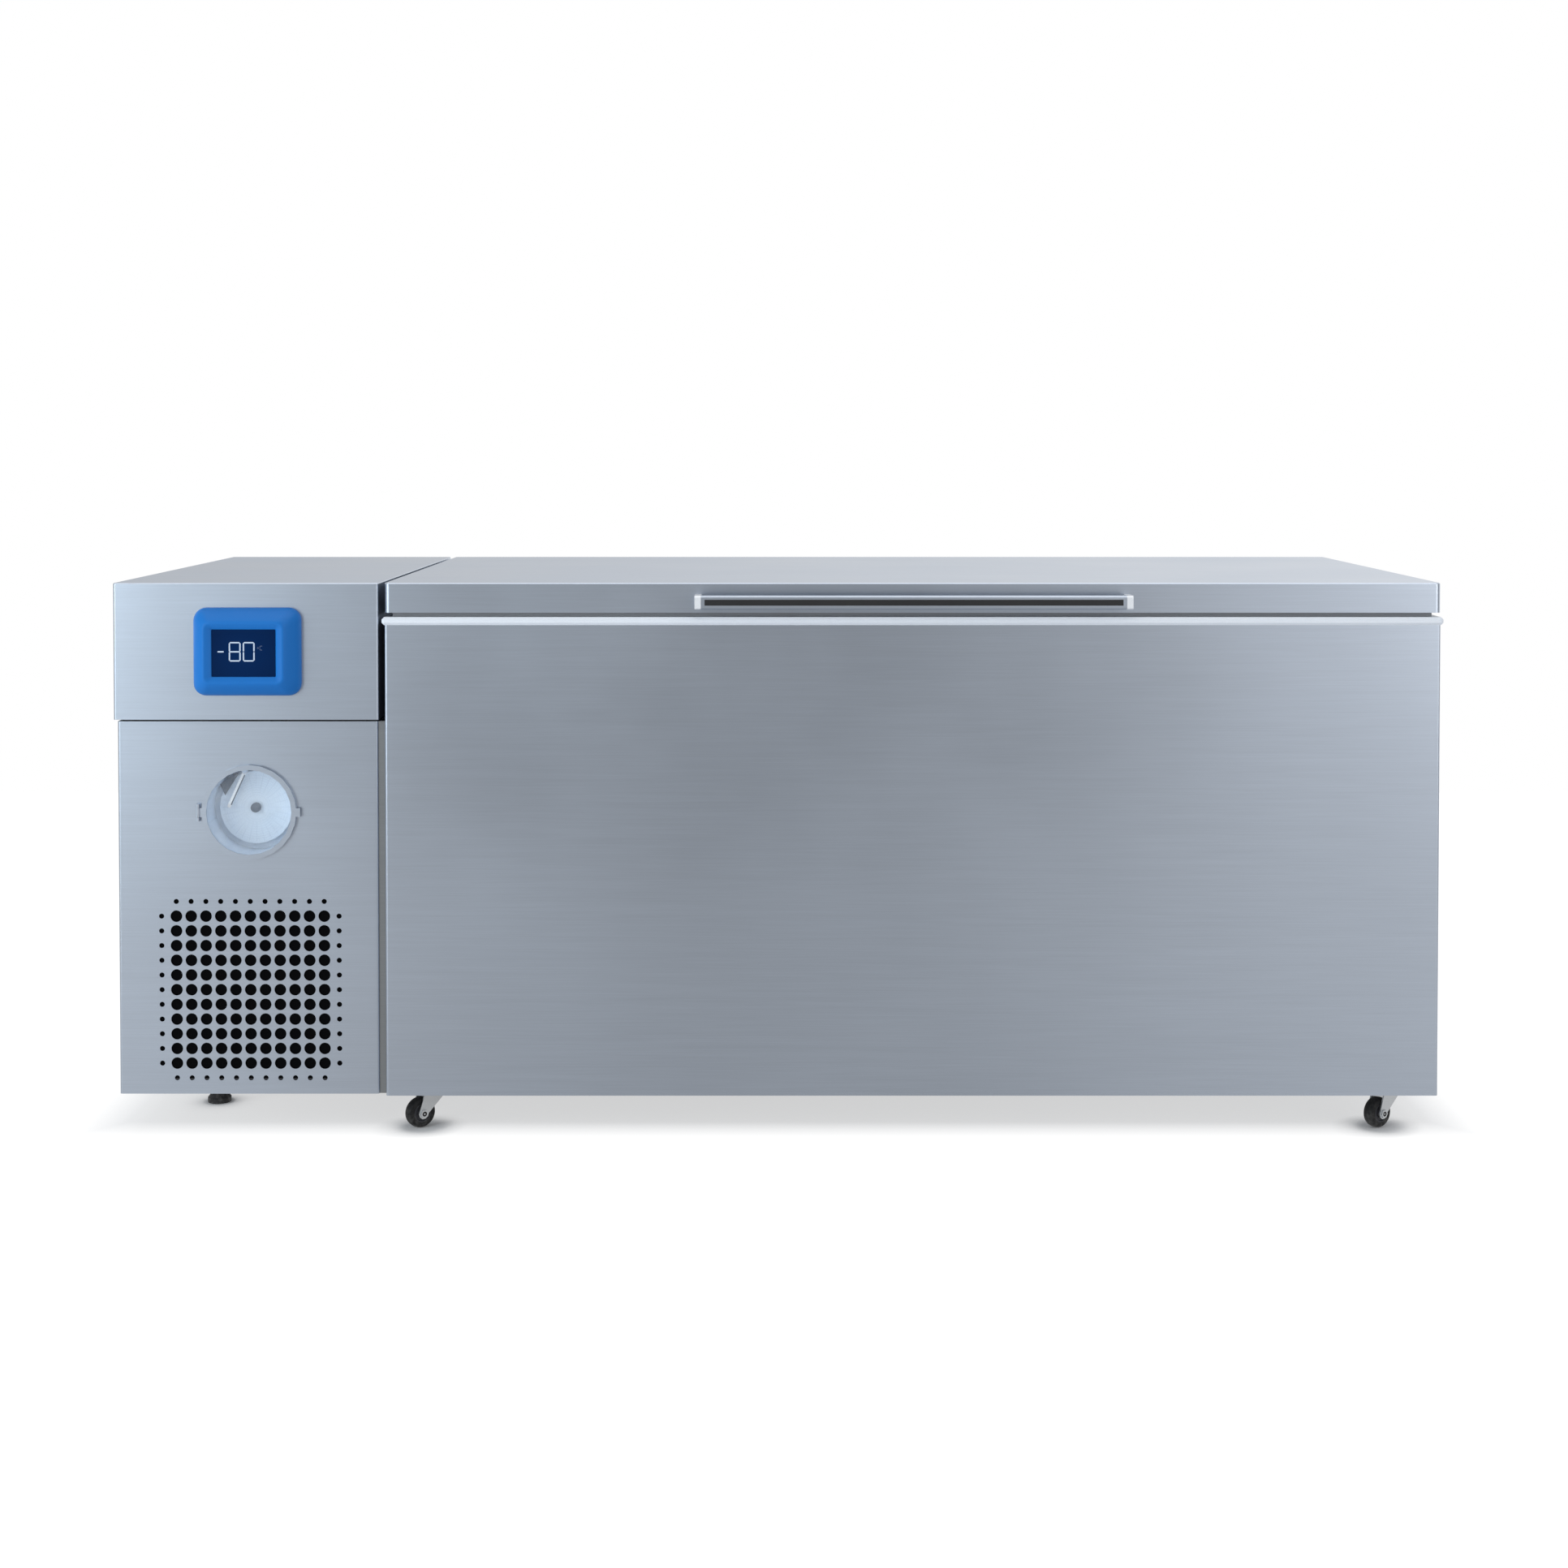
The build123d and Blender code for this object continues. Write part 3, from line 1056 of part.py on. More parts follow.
def all_nodes():
    """Every node by name."""
    return {
        **chest_panels(),
        "chest_insulation": chest_insulation(),
        "inner_liner": inner_liner(),
        "evaporator_coil": evaporator_coil(),
        "breaker_collar": breaker_collar(),
        **lid_shell(),
        **lid_handle(),
        **lid_hinges(),
        "caster_plates": caster_plates(),
        **casters(),
        **machine_cabinet(),
        "front_foot": levelling_foot(Y_FEET[0]),
        "rear_foot": levelling_foot(Y_FEET[1]),
        "hood": hood(),
        "joining_spacers": joining_spacers(),
        **air_path(),
        "high_stage_compressor": compressor(Y_COMPRESSORS[0]),
        "low_stage_compressor": compressor(Y_COMPRESSORS[1]),
        "compressor_grommets": compressor_grommets(),
        "cascade_exchanger": cascade_exchanger(),
        "refrigerant_lines": refrigerant_lines(),
        "control_box": control_box(),
        **display(),
        "recorder_case": recorder_case(),
        **recorder_door(),
        **recorder_works(),
        "mains_inlet": mains_inlet(),
        "power_rocker": power_rocker(),
    }


def main():
    """Writes one file per node."""
    os.makedirs("parts", exist_ok=True)
    for name, shape in all_nodes().items():
        export_step(shape, f"parts/{name}.step")


if __name__ == "__main__":
    main()
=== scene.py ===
import json
from math import pi, radians

import bmesh
import bpy
from bpy.props import FloatProperty, FloatVectorProperty, IntProperty, PointerProperty
from mathutils import Matrix, Vector


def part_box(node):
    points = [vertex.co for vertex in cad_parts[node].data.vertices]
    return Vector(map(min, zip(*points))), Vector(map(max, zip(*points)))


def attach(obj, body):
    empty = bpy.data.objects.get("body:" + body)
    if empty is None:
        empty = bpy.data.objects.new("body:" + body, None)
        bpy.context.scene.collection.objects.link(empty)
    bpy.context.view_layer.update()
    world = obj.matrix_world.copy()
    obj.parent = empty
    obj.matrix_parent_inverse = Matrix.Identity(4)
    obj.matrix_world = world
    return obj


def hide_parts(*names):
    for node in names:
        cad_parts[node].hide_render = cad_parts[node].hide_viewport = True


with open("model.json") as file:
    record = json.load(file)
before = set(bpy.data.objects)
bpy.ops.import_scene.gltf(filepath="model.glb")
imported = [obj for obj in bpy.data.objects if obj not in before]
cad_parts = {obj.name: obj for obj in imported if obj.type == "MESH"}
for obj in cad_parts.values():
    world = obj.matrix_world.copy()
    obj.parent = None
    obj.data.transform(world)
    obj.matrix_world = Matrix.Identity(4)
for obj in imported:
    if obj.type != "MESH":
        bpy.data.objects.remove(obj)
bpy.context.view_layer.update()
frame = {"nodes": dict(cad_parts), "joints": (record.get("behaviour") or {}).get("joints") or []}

bl_info = {
    "name": "Ultra low temperature chest freezer",
    "version": (1, 0, 0),
    "blender": (4, 5, 0),
    "location": "View3D > Sidebar > Freezer",
    "description": "Finishes and fine pieces for the chest freezer's frame",
    "category": "Object",
}

JOINTS = {joint["name"]: joint for joint in frame["joints"]}
CORNERS = ("front_left", "front_right", "rear_left", "rear_right")

# Stage: lengths in metres, and softboxes as name, place, target, size, power and tint
SOFTBOXES = (
    ("left_softbox", (-3.05, -3.2, 1.35), (-0.9, -0.4, 0.6), (2.2, 2.6), 44.0, (0.82, 0.94, 1.0)),
    ("right_softbox", (2.95, -3.2, 1.75), (1.0, -0.4, 0.7), (2.2, 2.6), 30.0, (1.0, 1.0, 1.0)),
    ("top_softbox", (0.0, -0.6, 3.6), (0.0, 0.0, 0.4), (4.0, 2.4), 30.0, (1.0, 1.0, 1.0)),
    ("side_softbox", (-4.2, -1.7, 0.7), (-0.9, -0.4, 0.7), (1.4, 1.8), 60.0, (0.92, 0.97, 1.0)),
)
FLOOR_HALF = 3.4
FLOOR_WHITE = 1.1
SHADOW_ENDS = (1.08, 1.18)
SHADOW_SIDES = (0.31, 0.42)
SHADOW_WHITE = 0.5
# Painted contact shade on the floor: reach and range of its ambient occlusion
CONTACT_SHADE_REACH = 0.06
CONTACT_SHADE_RANGE = (0.78, 0.985, 0.05, 1.0)
MIRROR_SPAN = (0.3, 1.15)
MIRROR_GAIN = 1.4
ROOM_LEFT = (-0.40, -0.21)
ROOM_RIGHT = (0.12, 0.29)
ROOM_BEHIND = (-0.3, 0.3, 0.0, 1.0)
ROOM_ENDS = (0.45, 0.75, 1.0, 0.4)
BACKDROP = (-0.25, 0.30, 0.64, 1.0)

# Finishes: grain as its stretch along each axis and its detail
GRAIN = (((9.0, 620.0, 620.0), 3.0), ((620.0, 9.0, 620.0), 3.0), ((2.0, 90.0, 90.0), 2.0))
DUST = (0.30, 0.29, 0.27, 1.0)
RING_PITCH = 0.004
HOUR_LINES = 28
RIM_TAPE = 0.006

# Vent panel
FOLD_STEPS = 5
VENT_SIDES = 24
EDGE_VENT_SIDES = 14
RECORDER_SIDES = 72

# Display: curve as shares of the way in and of the depth, lip as margin, corner and lift,
# and the crown's flat as margin, corner and share of the depth
BEZEL_CURVE = ((0.06, 0.30), (0.25, 0.52), (0.55, 0.76), (0.80, 0.92), (0.93, 0.985))
BEZEL_LIP = ((0.004, 0.003, 0.0012), (0.0, 0.0015, 0.0002), (-0.001, 0.001, -0.004))
BEZEL_CORNER = 0.020
BEZEL_EDGE = 0.003
CROWN_CORNER = 0.010
CROWN_MARGIN = (0.024, 0.021)
CROWN_FLAT = (0.005, 0.008, 0.995)
FIGURES = (("g", -0.0366, 0.7), ("abcdefg", -0.0140, 1.0), ("abcdef", 0.0084, 1.0))
FIGURE_LIFT = 0.0023
UNIT_FIGURES = (
    ("cdeg", 0.0232, 0.0094, (0.0026, 0.0052, 0.0008)),
    ("adef", 0.0282, 0.0082, (0.0048, 0.0074, 0.0010)),
)
BAR_GAP = 0.0004
BAR_RISE = 0.0004
BAR_SINK = 0.0001

# Recorder: the pen arm's painted highlight strip and painted shadow strip, as their way off the arm's
# middle and their width
PEN_TIP = (-0.042, 0.004)
PEN_STRIPS = {"pen_highlight_strip": (-0.0008, 0.0034), "pen_shadow_strip": (0.0022, 0.0018)}
STRIP_MIDDLE = 0.53
STRIP_SHARE = 0.86
STRIP_DEPTH = 0.0006
STRIP_LIFT = 0.0009
# A dark plate in the wedge between the pen arm and the cup wall, as corners about the chart's middle, and
# its way behind the pen's pivot
DARK_WEDGE = ((-0.0582, 0.0378), (-0.0330, 0.0575), (-0.0265, 0.0580), (-0.0500, 0.0200))
DARK_WEDGE_BACK = 0.0045

# Wheels: profiles of radius and width in millimetres
MILLIMETRE = 0.001
TYRE = (
    (15.0, -9.5), (19.5, -10.0), (22.6, -8.6), (24.4, -5.4), (25.0, 0.0), (24.4, 5.4), (22.6, 8.6),
    (19.5, 10.0), (15.0, 9.5),
)
HUB = (
    (4.05, -10.0), (7.0, -10.0), (7.8, -7.0), (12.6, -7.0), (13.6, -9.3), (15.0, -9.3), (15.0, 9.3),
    (13.6, 9.3), (12.6, 7.0), (7.8, 7.0), (7.0, 10.0), (4.05, 10.0),
)
SOCKET = ((1.6, -0.2), (3.9, -0.2), (4.3, 0.2), (1.2, 0.2))
SOCKET_SIDE = 17.0
WHEEL_STEPS = 48
SOCKET_STEPS = 18

# Screws: a sheet's way out, shares across it, and margins at its sides, foot and top
SCREW_ROWS = (
    ("chest_rear_panel", (0, 1, 0), (0.02, 0.2, 0.4, 0.6, 0.8, 0.98), (0.0, 0.018, 0.112)),
    ("machine_rear_panel", (0, 1, 0), (0.0, 0.5, 1.0), (0.012, 0.015, 0.015)),
    ("machine_left_panel", (-1, 0, 0), (0.0, 0.5, 1.0), (0.03, 0.012, 0.02)),
)
HINGES = 3
LEAF_WIDTH = 0.060
LEAF_SPREAD = 0.019
LEAF_DEPTH = 0.004
LID_LEAF_ROWS = (0.010, 0.022)
BODY_LEAF_ROWS = (0.014, 0.046)


def joint_point(name):
    """Where a joint of the frame sits."""
    return Vector(JOINTS[name]["pos_m"])


def colour(name, description, default):
    """A colour that a user would change."""
    return FloatVectorProperty(
        name=name, description=description, subtype="COLOR", size=3, min=0.0, max=1.0, default=default
    )


def length(name, description, default):
    """A size that a user would change."""
    return FloatProperty(name=name, description=description, default=default, min=0.0, unit="LENGTH")


class FreezerFinish(bpy.types.PropertyGroup):
    """Colours of the freezer's finishes."""

    steel: colour("Steel", "Brushed sheets of the chest, lid and hood", (0.525, 0.583, 0.672))
    galvanised: colour("Galvanised", "Rear and under sheets", (0.46, 0.48, 0.50))
    liner: colour("Liner", "Storage tank and the inside of the lid", (0.56, 0.58, 0.60))
    collar: colour("Collar", "White strip under the lid", (0.75, 0.79, 0.85))
    bright: colour("Bright metal", "Handle posts", (0.86, 0.88, 0.91))
    zinc: colour("Zinc", "Caster forks, plates and spacers", (0.66, 0.68, 0.70))
    copper: colour("Copper", "Refrigerant lines and coil", (0.72, 0.40, 0.26))
    bezel: colour("Bezel", "Moulded frame of the display", (0.004, 0.150, 0.500))
    screen: colour("Screen", "Dark glass of the display", (0.0006, 0.011, 0.050))
    digits: colour("Digits", "Lit figures of the display", (0.42, 0.50, 0.62))
    unit: colour("Unit", "Faint unit beside the figures", (0.06, 0.09, 0.17))
    paper: colour("Chart", "Paper of the round chart", (0.78, 0.88, 1.0))
    print_ink: colour("Chart print", "Fine lines printed on the chart", (0.30, 0.40, 0.55))
    recorder: colour("Recorder", "Moulded cup of the recorder", (0.66, 0.76, 0.88))
    # The pen's white strip is a painted highlight along the arm
    pen: colour("Pen", "White strip along the pen arm", (0.92, 0.96, 1.0))
    # The hub's dark blue also colours the pen's painted shadow strip and the dark wedge plate
    hub: colour("Hub", "Hub of the chart", (0.035, 0.062, 0.105))
    black: colour("Black", "Rubber, filter and moulded black pieces", (0.012, 0.012, 0.014))
    seal: colour("Seal", "Rubber seal of the lid", (0.28, 0.29, 0.31))
    foam: colour("Foam", "Insulation", (0.80, 0.72, 0.50))


class FreezerDetail(bpy.types.PropertyGroup):
    """Sizes of the fine pieces."""

    vent_pitch: length("Vent pitch", "Spacing of the vent holes", 0.024)
    vent_radius: length("Vent radius", "Radius of a large vent hole", 0.0095)
    vent_edge_radius: length("Edge vent radius", "Radius of a small vent hole", 0.0042)
    vent_height: length("Vent height", "Height of the middle of the vent field", 0.242)
    vent_count: IntProperty(name="Vent count", description="Large holes along one side", default=11, min=1)
    sheet: length("Sheet", "Thickness of the outer sheets", 0.0012)
    bend: length("Bend", "Outer radius of a folded sheet", 0.004)
    recorder_hole: length("Recorder hole", "Radius of the recorder's opening in the panel", 0.0725)
    digit_width: length("Digit width", "Width of one figure of the display", 0.0190)
    digit_height: length("Digit height", "Height of one figure of the display", 0.0314)
    digit_stroke: length("Digit stroke", "Width of one bar of a figure", 0.0022)
    screw_radius: length("Screw radius", "Radius of a screw head", 0.0045)
    screw_rise: length("Screw rise", "Height of a screw head", 0.0018)


class FreezerStage(bpy.types.PropertyGroup):
    """Camera and light."""

    camera: FloatVectorProperty(
        name="Camera", description="Where the camera stands", size=3, subtype="TRANSLATION",
        unit="LENGTH", default=(0.0095, -4.275, 1.138),
    )
    pitch: FloatProperty(
        name="Pitch", description="How far the camera looks down", subtype="ANGLE", default=radians(1.5)
    )
    lens: FloatProperty(name="Lens", description="Focal length in millimetres", default=55.11, min=1.0)
    shift: FloatProperty(name="Shift", description="Upward shift of the frame", default=-0.1807)
    ambient: FloatProperty(name="Ambient", description="Strength of the even light", default=0.52, min=0.0)
    front_grey: FloatProperty(
        name="Front grey", description="Brightness of the room in front, as the steel mirrors it",
        default=0.29, min=0.0, max=1.0,
    )
    floor_grey: FloatProperty(
        name="Floor grey", description="Brightness of the floor, as the steel mirrors it",
        default=0.47, min=0.0, max=1.0,
    )
    floor: colour("Floor", "Pale floor", (0.86, 0.86, 0.87))


# Shader groups


def new_group(name, inputs, outputs):
    """An empty shader group with float sockets, and a vector first."""
    group = bpy.data.node_groups.new(name, "ShaderNodeTree")
    group.interface.new_socket("Vector", in_out="INPUT", socket_type="NodeSocketVector")
    for label, default in inputs:
        socket = group.interface.new_socket(label, in_out="INPUT", socket_type="NodeSocketFloat")
        socket.default_value = default
    for label in outputs:
        group.interface.new_socket(label, in_out="OUTPUT", socket_type="NodeSocketFloat")
    return group, group.nodes.new("NodeGroupInput"), group.nodes.new("NodeGroupOutput")


def feed(tree, socket, value):
    """Links a socket to another one, or gives it plain numbers."""
    if isinstance(value, bpy.types.NodeSocket):
        tree.links.new(value, socket)
    else:
        socket.default_value = value


def object_coords(tree):
    """The object's own coordinates."""
    return tree.nodes.new("ShaderNodeTexCoord").outputs["Object"]


def add_split(tree, vector):
    """The three parts of a vector."""
    split = tree.nodes.new("ShaderNodeSeparateXYZ")
    tree.links.new(vector, split.inputs["Vector"])
    return split.outputs


def add_mapping(tree, vector, label, value):
    """A vector moved or stretched."""
    mapping = tree.nodes.new("ShaderNodeMapping")
    mapping.inputs[label].default_value = value
    tree.links.new(vector, mapping.inputs["Vector"])
    return mapping.outputs["Vector"]


def add_noise(tree, vector, scale, detail):
    """Noise on a vector."""
    noise = tree.nodes.new("ShaderNodeTexNoise")
    for label, value in (("Vector", vector), ("Scale", scale), ("Detail", detail)):
        feed(tree, noise.inputs[label], value)
    return noise.outputs["Fac"]


def add_math(tree, operation, first, second, clamp=False):
    """A sum, product or test of two sockets or numbers."""
    node = tree.nodes.new("ShaderNodeMath")
    node.operation = operation
    node.use_clamp = clamp
    for socket, value in zip(node.inputs, (first, second)):
        feed(tree, socket, value)
    return node.outputs["Value"]


def add_range(tree, value, low, high, to_low, to_high):
    """A value moved from one range to another."""
    node = tree.nodes.new("ShaderNodeMapRange")
    tree.links.new(value, node.inputs["Value"])
    for label, number in (("From Min", low), ("From Max", high), ("To Min", to_low), ("To Max", to_high)):
        node.inputs[label].default_value = number
    return node.outputs["Result"]


def add_mix(tree, factor, first, second):
    """A mix of two numbers."""
    node = tree.nodes.new("ShaderNodeMix")
    node.data_type = "FLOAT"
    for socket, value in ((node.inputs[0], factor), (node.inputs[2], first), (node.inputs[3], second)):
        tree.links.new(value, socket)
    return node.outputs[0]


def build_brushed_grain():
    """Fine lines along a sheet: level on upright faces, along the length on top."""
    group, entry, leave = new_group("brushed_grain", [("Fineness", 1.0)], ["Tone", "Height"])
    scaled = group.nodes.new("ShaderNodeVectorMath")
    scaled.operation = "SCALE"
    group.links.new(entry.outputs["Vector"], scaled.inputs["Vector"])
    group.links.new(entry.outputs["Fineness"], scaled.inputs["Scale"])
    along_x, along_y, wide_x = [
        add_noise(group, add_mapping(group, scaled.outputs["Vector"], "Scale", stretch), 1.0, detail)
        for stretch, detail in GRAIN
    ]
    geometry = group.nodes.new("ShaderNodeNewGeometry")
    normal = add_split(group, geometry.outputs["True Normal"])
    sideways = add_math(group, "GREATER_THAN", add_math(group, "ABSOLUTE", normal["X"], 0.0), 0.7)
    fine = add_mix(group, sideways, along_x, along_y)
    fine_part = add_math(group, "MULTIPLY", fine, 0.65)
    wide_part = add_math(group, "MULTIPLY", wide_x, 0.35)
    group.links.new(add_math(group, "ADD", fine_part, wide_part), leave.inputs["Tone"])
    group.links.new(fine, leave.inputs["Height"])
    return group


def build_moulded_speckle():
    """The fine pebbled skin of moulded plastic, rubber or cast paint."""
    group, entry, leave = new_group("moulded_speckle", [("Scale", 900.0)], ["Tone", "Height"])
    speckle = add_noise(group, entry.outputs["Vector"], entry.outputs["Scale"], 2.0)
    pebble = group.nodes.new("ShaderNodeTexVoronoi")
    for label in ("Vector", "Scale"):
        group.links.new(entry.outputs[label], pebble.inputs[label])
    group.links.new(speckle, leave.inputs["Tone"])
    group.links.new(pebble.outputs["Distance"], leave.inputs["Height"])
    return group


def build_handling_cloud():
    """Broad soft patches that wiping and handling leave."""
    group, entry, leave = new_group("handling_cloud", [("Scale", 2.2)], ["Cloud"])
    cloud = add_noise(group, entry.outputs["Vector"], entry.outputs["Scale"], 4.0)
    group.links.new(cloud, leave.inputs["Cloud"])
    return group


def build_floor_dust():
    """Dust and scuffs that thin out with height above the floor."""
    group, entry, leave = new_group("floor_dust", [("Reach", 0.06), ("Amount", 0.5)], ["Mask"])
    place = add_split(group, entry.outputs["Vector"])
    height = add_math(group, "DIVIDE", place["Z"], entry.outputs["Reach"])
    near = add_math(group, "SUBTRACT", 1.0, height, clamp=True)
    patch = add_range(group, add_noise(group, entry.outputs["Vector"], 140.0, 4.0), 0.42, 0.68, 0.0, 1.0)
    mask = add_math(group, "MULTIPLY", near, patch)
    group.links.new(add_math(group, "MULTIPLY", mask, entry.outputs["Amount"]), leave.inputs["Mask"])
    return group


BUILDERS = {
    "brushed_grain": build_brushed_grain,
    "moulded_speckle": build_moulded_speckle,
    "handling_cloud": build_handling_cloud,
    "floor_dust": build_floor_dust,
}


def add_group(tree, name, vector, **values):
    """One of the shared groups, placed in a material with its own values."""
    node = tree.nodes.new("ShaderNodeGroup")
    node.node_tree = bpy.data.node_groups.get(name) or BUILDERS[name]()
    tree.links.new(vector, node.inputs["Vector"])
    for label, value in values.items():
        node.inputs[label].default_value = value
    return node


# Materials


def tone(base, amount):
    """A colour made darker or lighter."""
    return tuple(min(1.0, channel * amount) for channel in base)


def shade(base, amount):
    """A colour made darker or lighter, and opaque."""
    return (*tone(base, amount), 1.0)


def start_material(name):
    """A material with its shader, and the object's coordinates."""
    material = bpy.data.materials.new(name)
    material.use_nodes = True
    tree = material.node_tree
    return material, tree, tree.nodes["Principled BSDF"], object_coords(tree)


def mix_colours(tree, factor, first, second):
    """A mix of two colours, each a socket or four numbers."""
    node = tree.nodes.new("ShaderNodeMix")
    node.data_type = "RGBA"
    tree.links.new(factor, node.inputs["Factor"])
    for socket, value in ((node.inputs[6], first), (node.inputs[7], second)):
        feed(tree, socket, value)
    return node.outputs[2]


def add_bump(tree, shader, height, strength, depth):
    """Relief of the surface."""
    bump = tree.nodes.new("ShaderNodeBump")
    bump.inputs["Strength"].default_value = strength
    bump.inputs["Distance"].default_value = depth
    tree.links.new(height, bump.inputs["Height"])
    tree.links.new(bump.outputs["Normal"], shader.inputs["Normal"])


def brushed_steel(name, base, roughness, fineness=1.0, contrast=0.10, metallic=1.0):
    """Sheet steel with fine brushed lines and faint wiping marks."""
    material, tree, shader, coords = start_material(name)
    grain = add_group(tree, "brushed_grain", coords, Fineness=fineness)
    cloud = add_group(tree, "handling_cloud", coords)
    tint = mix_colours(tree, grain.outputs["Tone"], shade(base, 1 - contrast), shade(base, 1 + contrast))
    tree.links.new(tint, shader.inputs["Base Color"])
    rough = add_range(tree, cloud.outputs["Cloud"], 0.3, 0.7, roughness - 0.04, roughness + 0.05)
    tree.links.new(rough, shader.inputs["Roughness"])
    shader.inputs["Metallic"].default_value = metallic
    add_bump(tree, shader, grain.outputs["Height"], 0.06, 0.0004)
    return material


def moulded(name, base, roughness, scale=900.0, relief=0.08, coat=0.0, gloss=0.5, dust=0.0, contrast=0.08):
    """Moulded plastic, rubber or paint, with a pebbled skin, and dust low down."""
    material, tree, shader, coords = start_material(name)
    skin = add_group(tree, "moulded_speckle", coords, Scale=scale)
    cloud = add_group(tree, "handling_cloud", coords, Scale=14.0)
    tint = mix_colours(tree, skin.outputs["Tone"], shade(base, 1 - contrast), shade(base, 1 + contrast))
    if dust:
        film = add_group(tree, "floor_dust", coords, Amount=dust)
        tint = mix_colours(tree, film.outputs["Mask"], tint, DUST)
    tree.links.new(tint, shader.inputs["Base Color"])
    rough = add_range(tree, cloud.outputs["Cloud"], 0.3, 0.7, roughness - 0.05, roughness + 0.06)
    tree.links.new(rough, shader.inputs["Roughness"])
    shader.inputs["Specular IOR Level"].default_value = gloss
    shader.inputs["Coat Weight"].default_value = coat
    shader.inputs["Coat Roughness"].default_value = 0.12
    add_bump(tree, shader, skin.outputs["Height"], relief, 0.0003)
    return material


def add_reach(tree, place):
    """How far a place lies from the level axis."""
    squares = [add_math(tree, "MULTIPLY", place[axis], place[axis]) for axis in ("X", "Z")]
    return add_math(tree, "SQRT", add_math(tree, "ADD", *squares), 0.0)


def finish_part(material, mask, second, metallic):
    """Gives the masked part of a material another colour, with a metal share of its own."""
    tree = material.node_tree
    shader = tree.nodes["Principled BSDF"]
    first = shader.inputs["Base Color"].links[0].from_socket
    tree.links.new(mix_colours(tree, mask, first, second), shader.inputs["Base Color"])
    tree.links.new(metallic, shader.inputs["Metallic"])
    return material


def steel_rim(material, base, centre, radius):
    """Turns what lies outside a radius, such as a cup's flange and lugs, into bare steel."""
    tree = material.node_tree
    coords = object_coords(tree)
    reach = add_reach(tree, add_split(tree, add_mapping(tree, coords, "Location", -centre)))
    outside = add_math(tree, "GREATER_THAN", reach, radius)
    grain = add_group(tree, "brushed_grain", coords)
    steel = mix_colours(tree, grain.outputs["Tone"], shade(base, 0.9), shade(base, 1.1))
    return finish_part(material, outside, steel, outside)


def seal_edge(material, base, height):
    """Turns what lies above a height, such as the taped edge of a rim, into dark seal."""
    tree = material.node_tree
    above = add_math(tree, "GREATER_THAN", add_split(tree, object_coords(tree))["Z"], height)
    return finish_part(material, above, (*base, 1.0), add_math(tree, "SUBTRACT", 1.0, above))


def chart_paper(name, base, ink, centre, radius):
    """Chart paper with printed rings and time lines about the hub."""
    material, tree, shader, coords = start_material(name)
    place = add_split(tree, add_mapping(tree, coords, "Location", -centre))
    reach = add_reach(tree, place)
    rings = add_math(tree, "FRACT", add_math(tree, "DIVIDE", reach, RING_PITCH), 0.0)
    rings = add_math(tree, "LESS_THAN", rings, 0.10)
    turn = add_math(tree, "ARCTAN2", place["Z"], place["X"])
    hours = add_math(tree, "FRACT", add_math(tree, "MULTIPLY", turn, HOUR_LINES / (2 * pi)), 0.0)
    hours = add_math(tree, "LESS_THAN", hours, 0.06)
    lines = add_math(tree, "MAXIMUM", rings, hours)
    printed = add_math(tree, "LESS_THAN", reach, radius - RING_PITCH)
    margin = add_math(tree, "GREATER_THAN", reach, radius * 0.32)
    lines = add_math(tree, "MULTIPLY", add_math(tree, "MULTIPLY", lines, printed), margin)
    fibre = add_group(tree, "moulded_speckle", coords, Scale=2400.0)
    sheet = mix_colours(tree, fibre.outputs["Tone"], shade(base, 0.96), shade(base, 1.04))
    strength = add_math(tree, "MULTIPLY", lines, 0.35)
    tree.links.new(mix_colours(tree, strength, sheet, (*ink, 1.0)), shader.inputs["Base Color"])
    shader.inputs["Roughness"].default_value = 0.7
    add_bump(tree, shader, fibre.outputs["Height"], 0.05, 0.0002)
    return material


def clear_window(name, tint):
    """A clear sheet with faint smears."""
    material, tree, shader, coords = start_material(name)
    cloud = add_group(tree, "handling_cloud", coords, Scale=30.0)
    tree.links.new(add_range(tree, cloud.outputs["Cloud"], 0.3, 0.8, 0.05, 0.12), shader.inputs["Alpha"])
    shader.inputs["Base Color"].default_value = (*tint, 1.0)
    shader.inputs["Roughness"].default_value = 0.05
    return material


def dark_screen(name, base, centre):
    """Dark display glass with a faint even glow behind it."""
    material, tree, shader, coords = start_material(name)
    away = tree.nodes.new("ShaderNodeVectorMath")
    away.operation = "LENGTH"
    tree.links.new(add_mapping(tree, coords, "Location", -centre), away.inputs[0])
    glow = add_range(tree, away.outputs["Value"], 0.0, 0.065, 1.0, 0.55)
    cells = add_group(tree, "moulded_speckle", coords, Scale=3200.0)
    fill = add_math(tree, "MULTIPLY", glow, add_range(tree, cells.outputs["Tone"], 0.2, 0.8, 0.9, 1.1))
    tint = mix_colours(tree, fill, shade(base, 0.5), shade(base, 1.3))
    tree.links.new(tint, shader.inputs["Base Color"])
    tree.links.new(tint, shader.inputs["Emission Color"])
    shader.inputs["Emission Strength"].default_value = 0.35
    shader.inputs["Roughness"].default_value = 0.3
    shader.inputs["Specular IOR Level"].default_value = 0.05
    return material


def lit_figure(name, base, glow):
    """A faintly mottled colour that also glows a little, as lit bars do; on the pen arm the glow is a
    painted highlight.
    """
    material, tree, shader, coords = start_material(name)
    cells = add_group(tree, "moulded_speckle", coords, Scale=2600.0)
    tint = mix_colours(tree, cells.outputs["Tone"], shade(base, 0.9), shade(base, 1.05))
    tree.links.new(tint, shader.inputs["Base Color"])
    tree.links.new(tint, shader.inputs["Emission Color"])
    shader.inputs["Emission Strength"].default_value = glow
    shader.inputs["Roughness"].default_value = 0.4
    return material


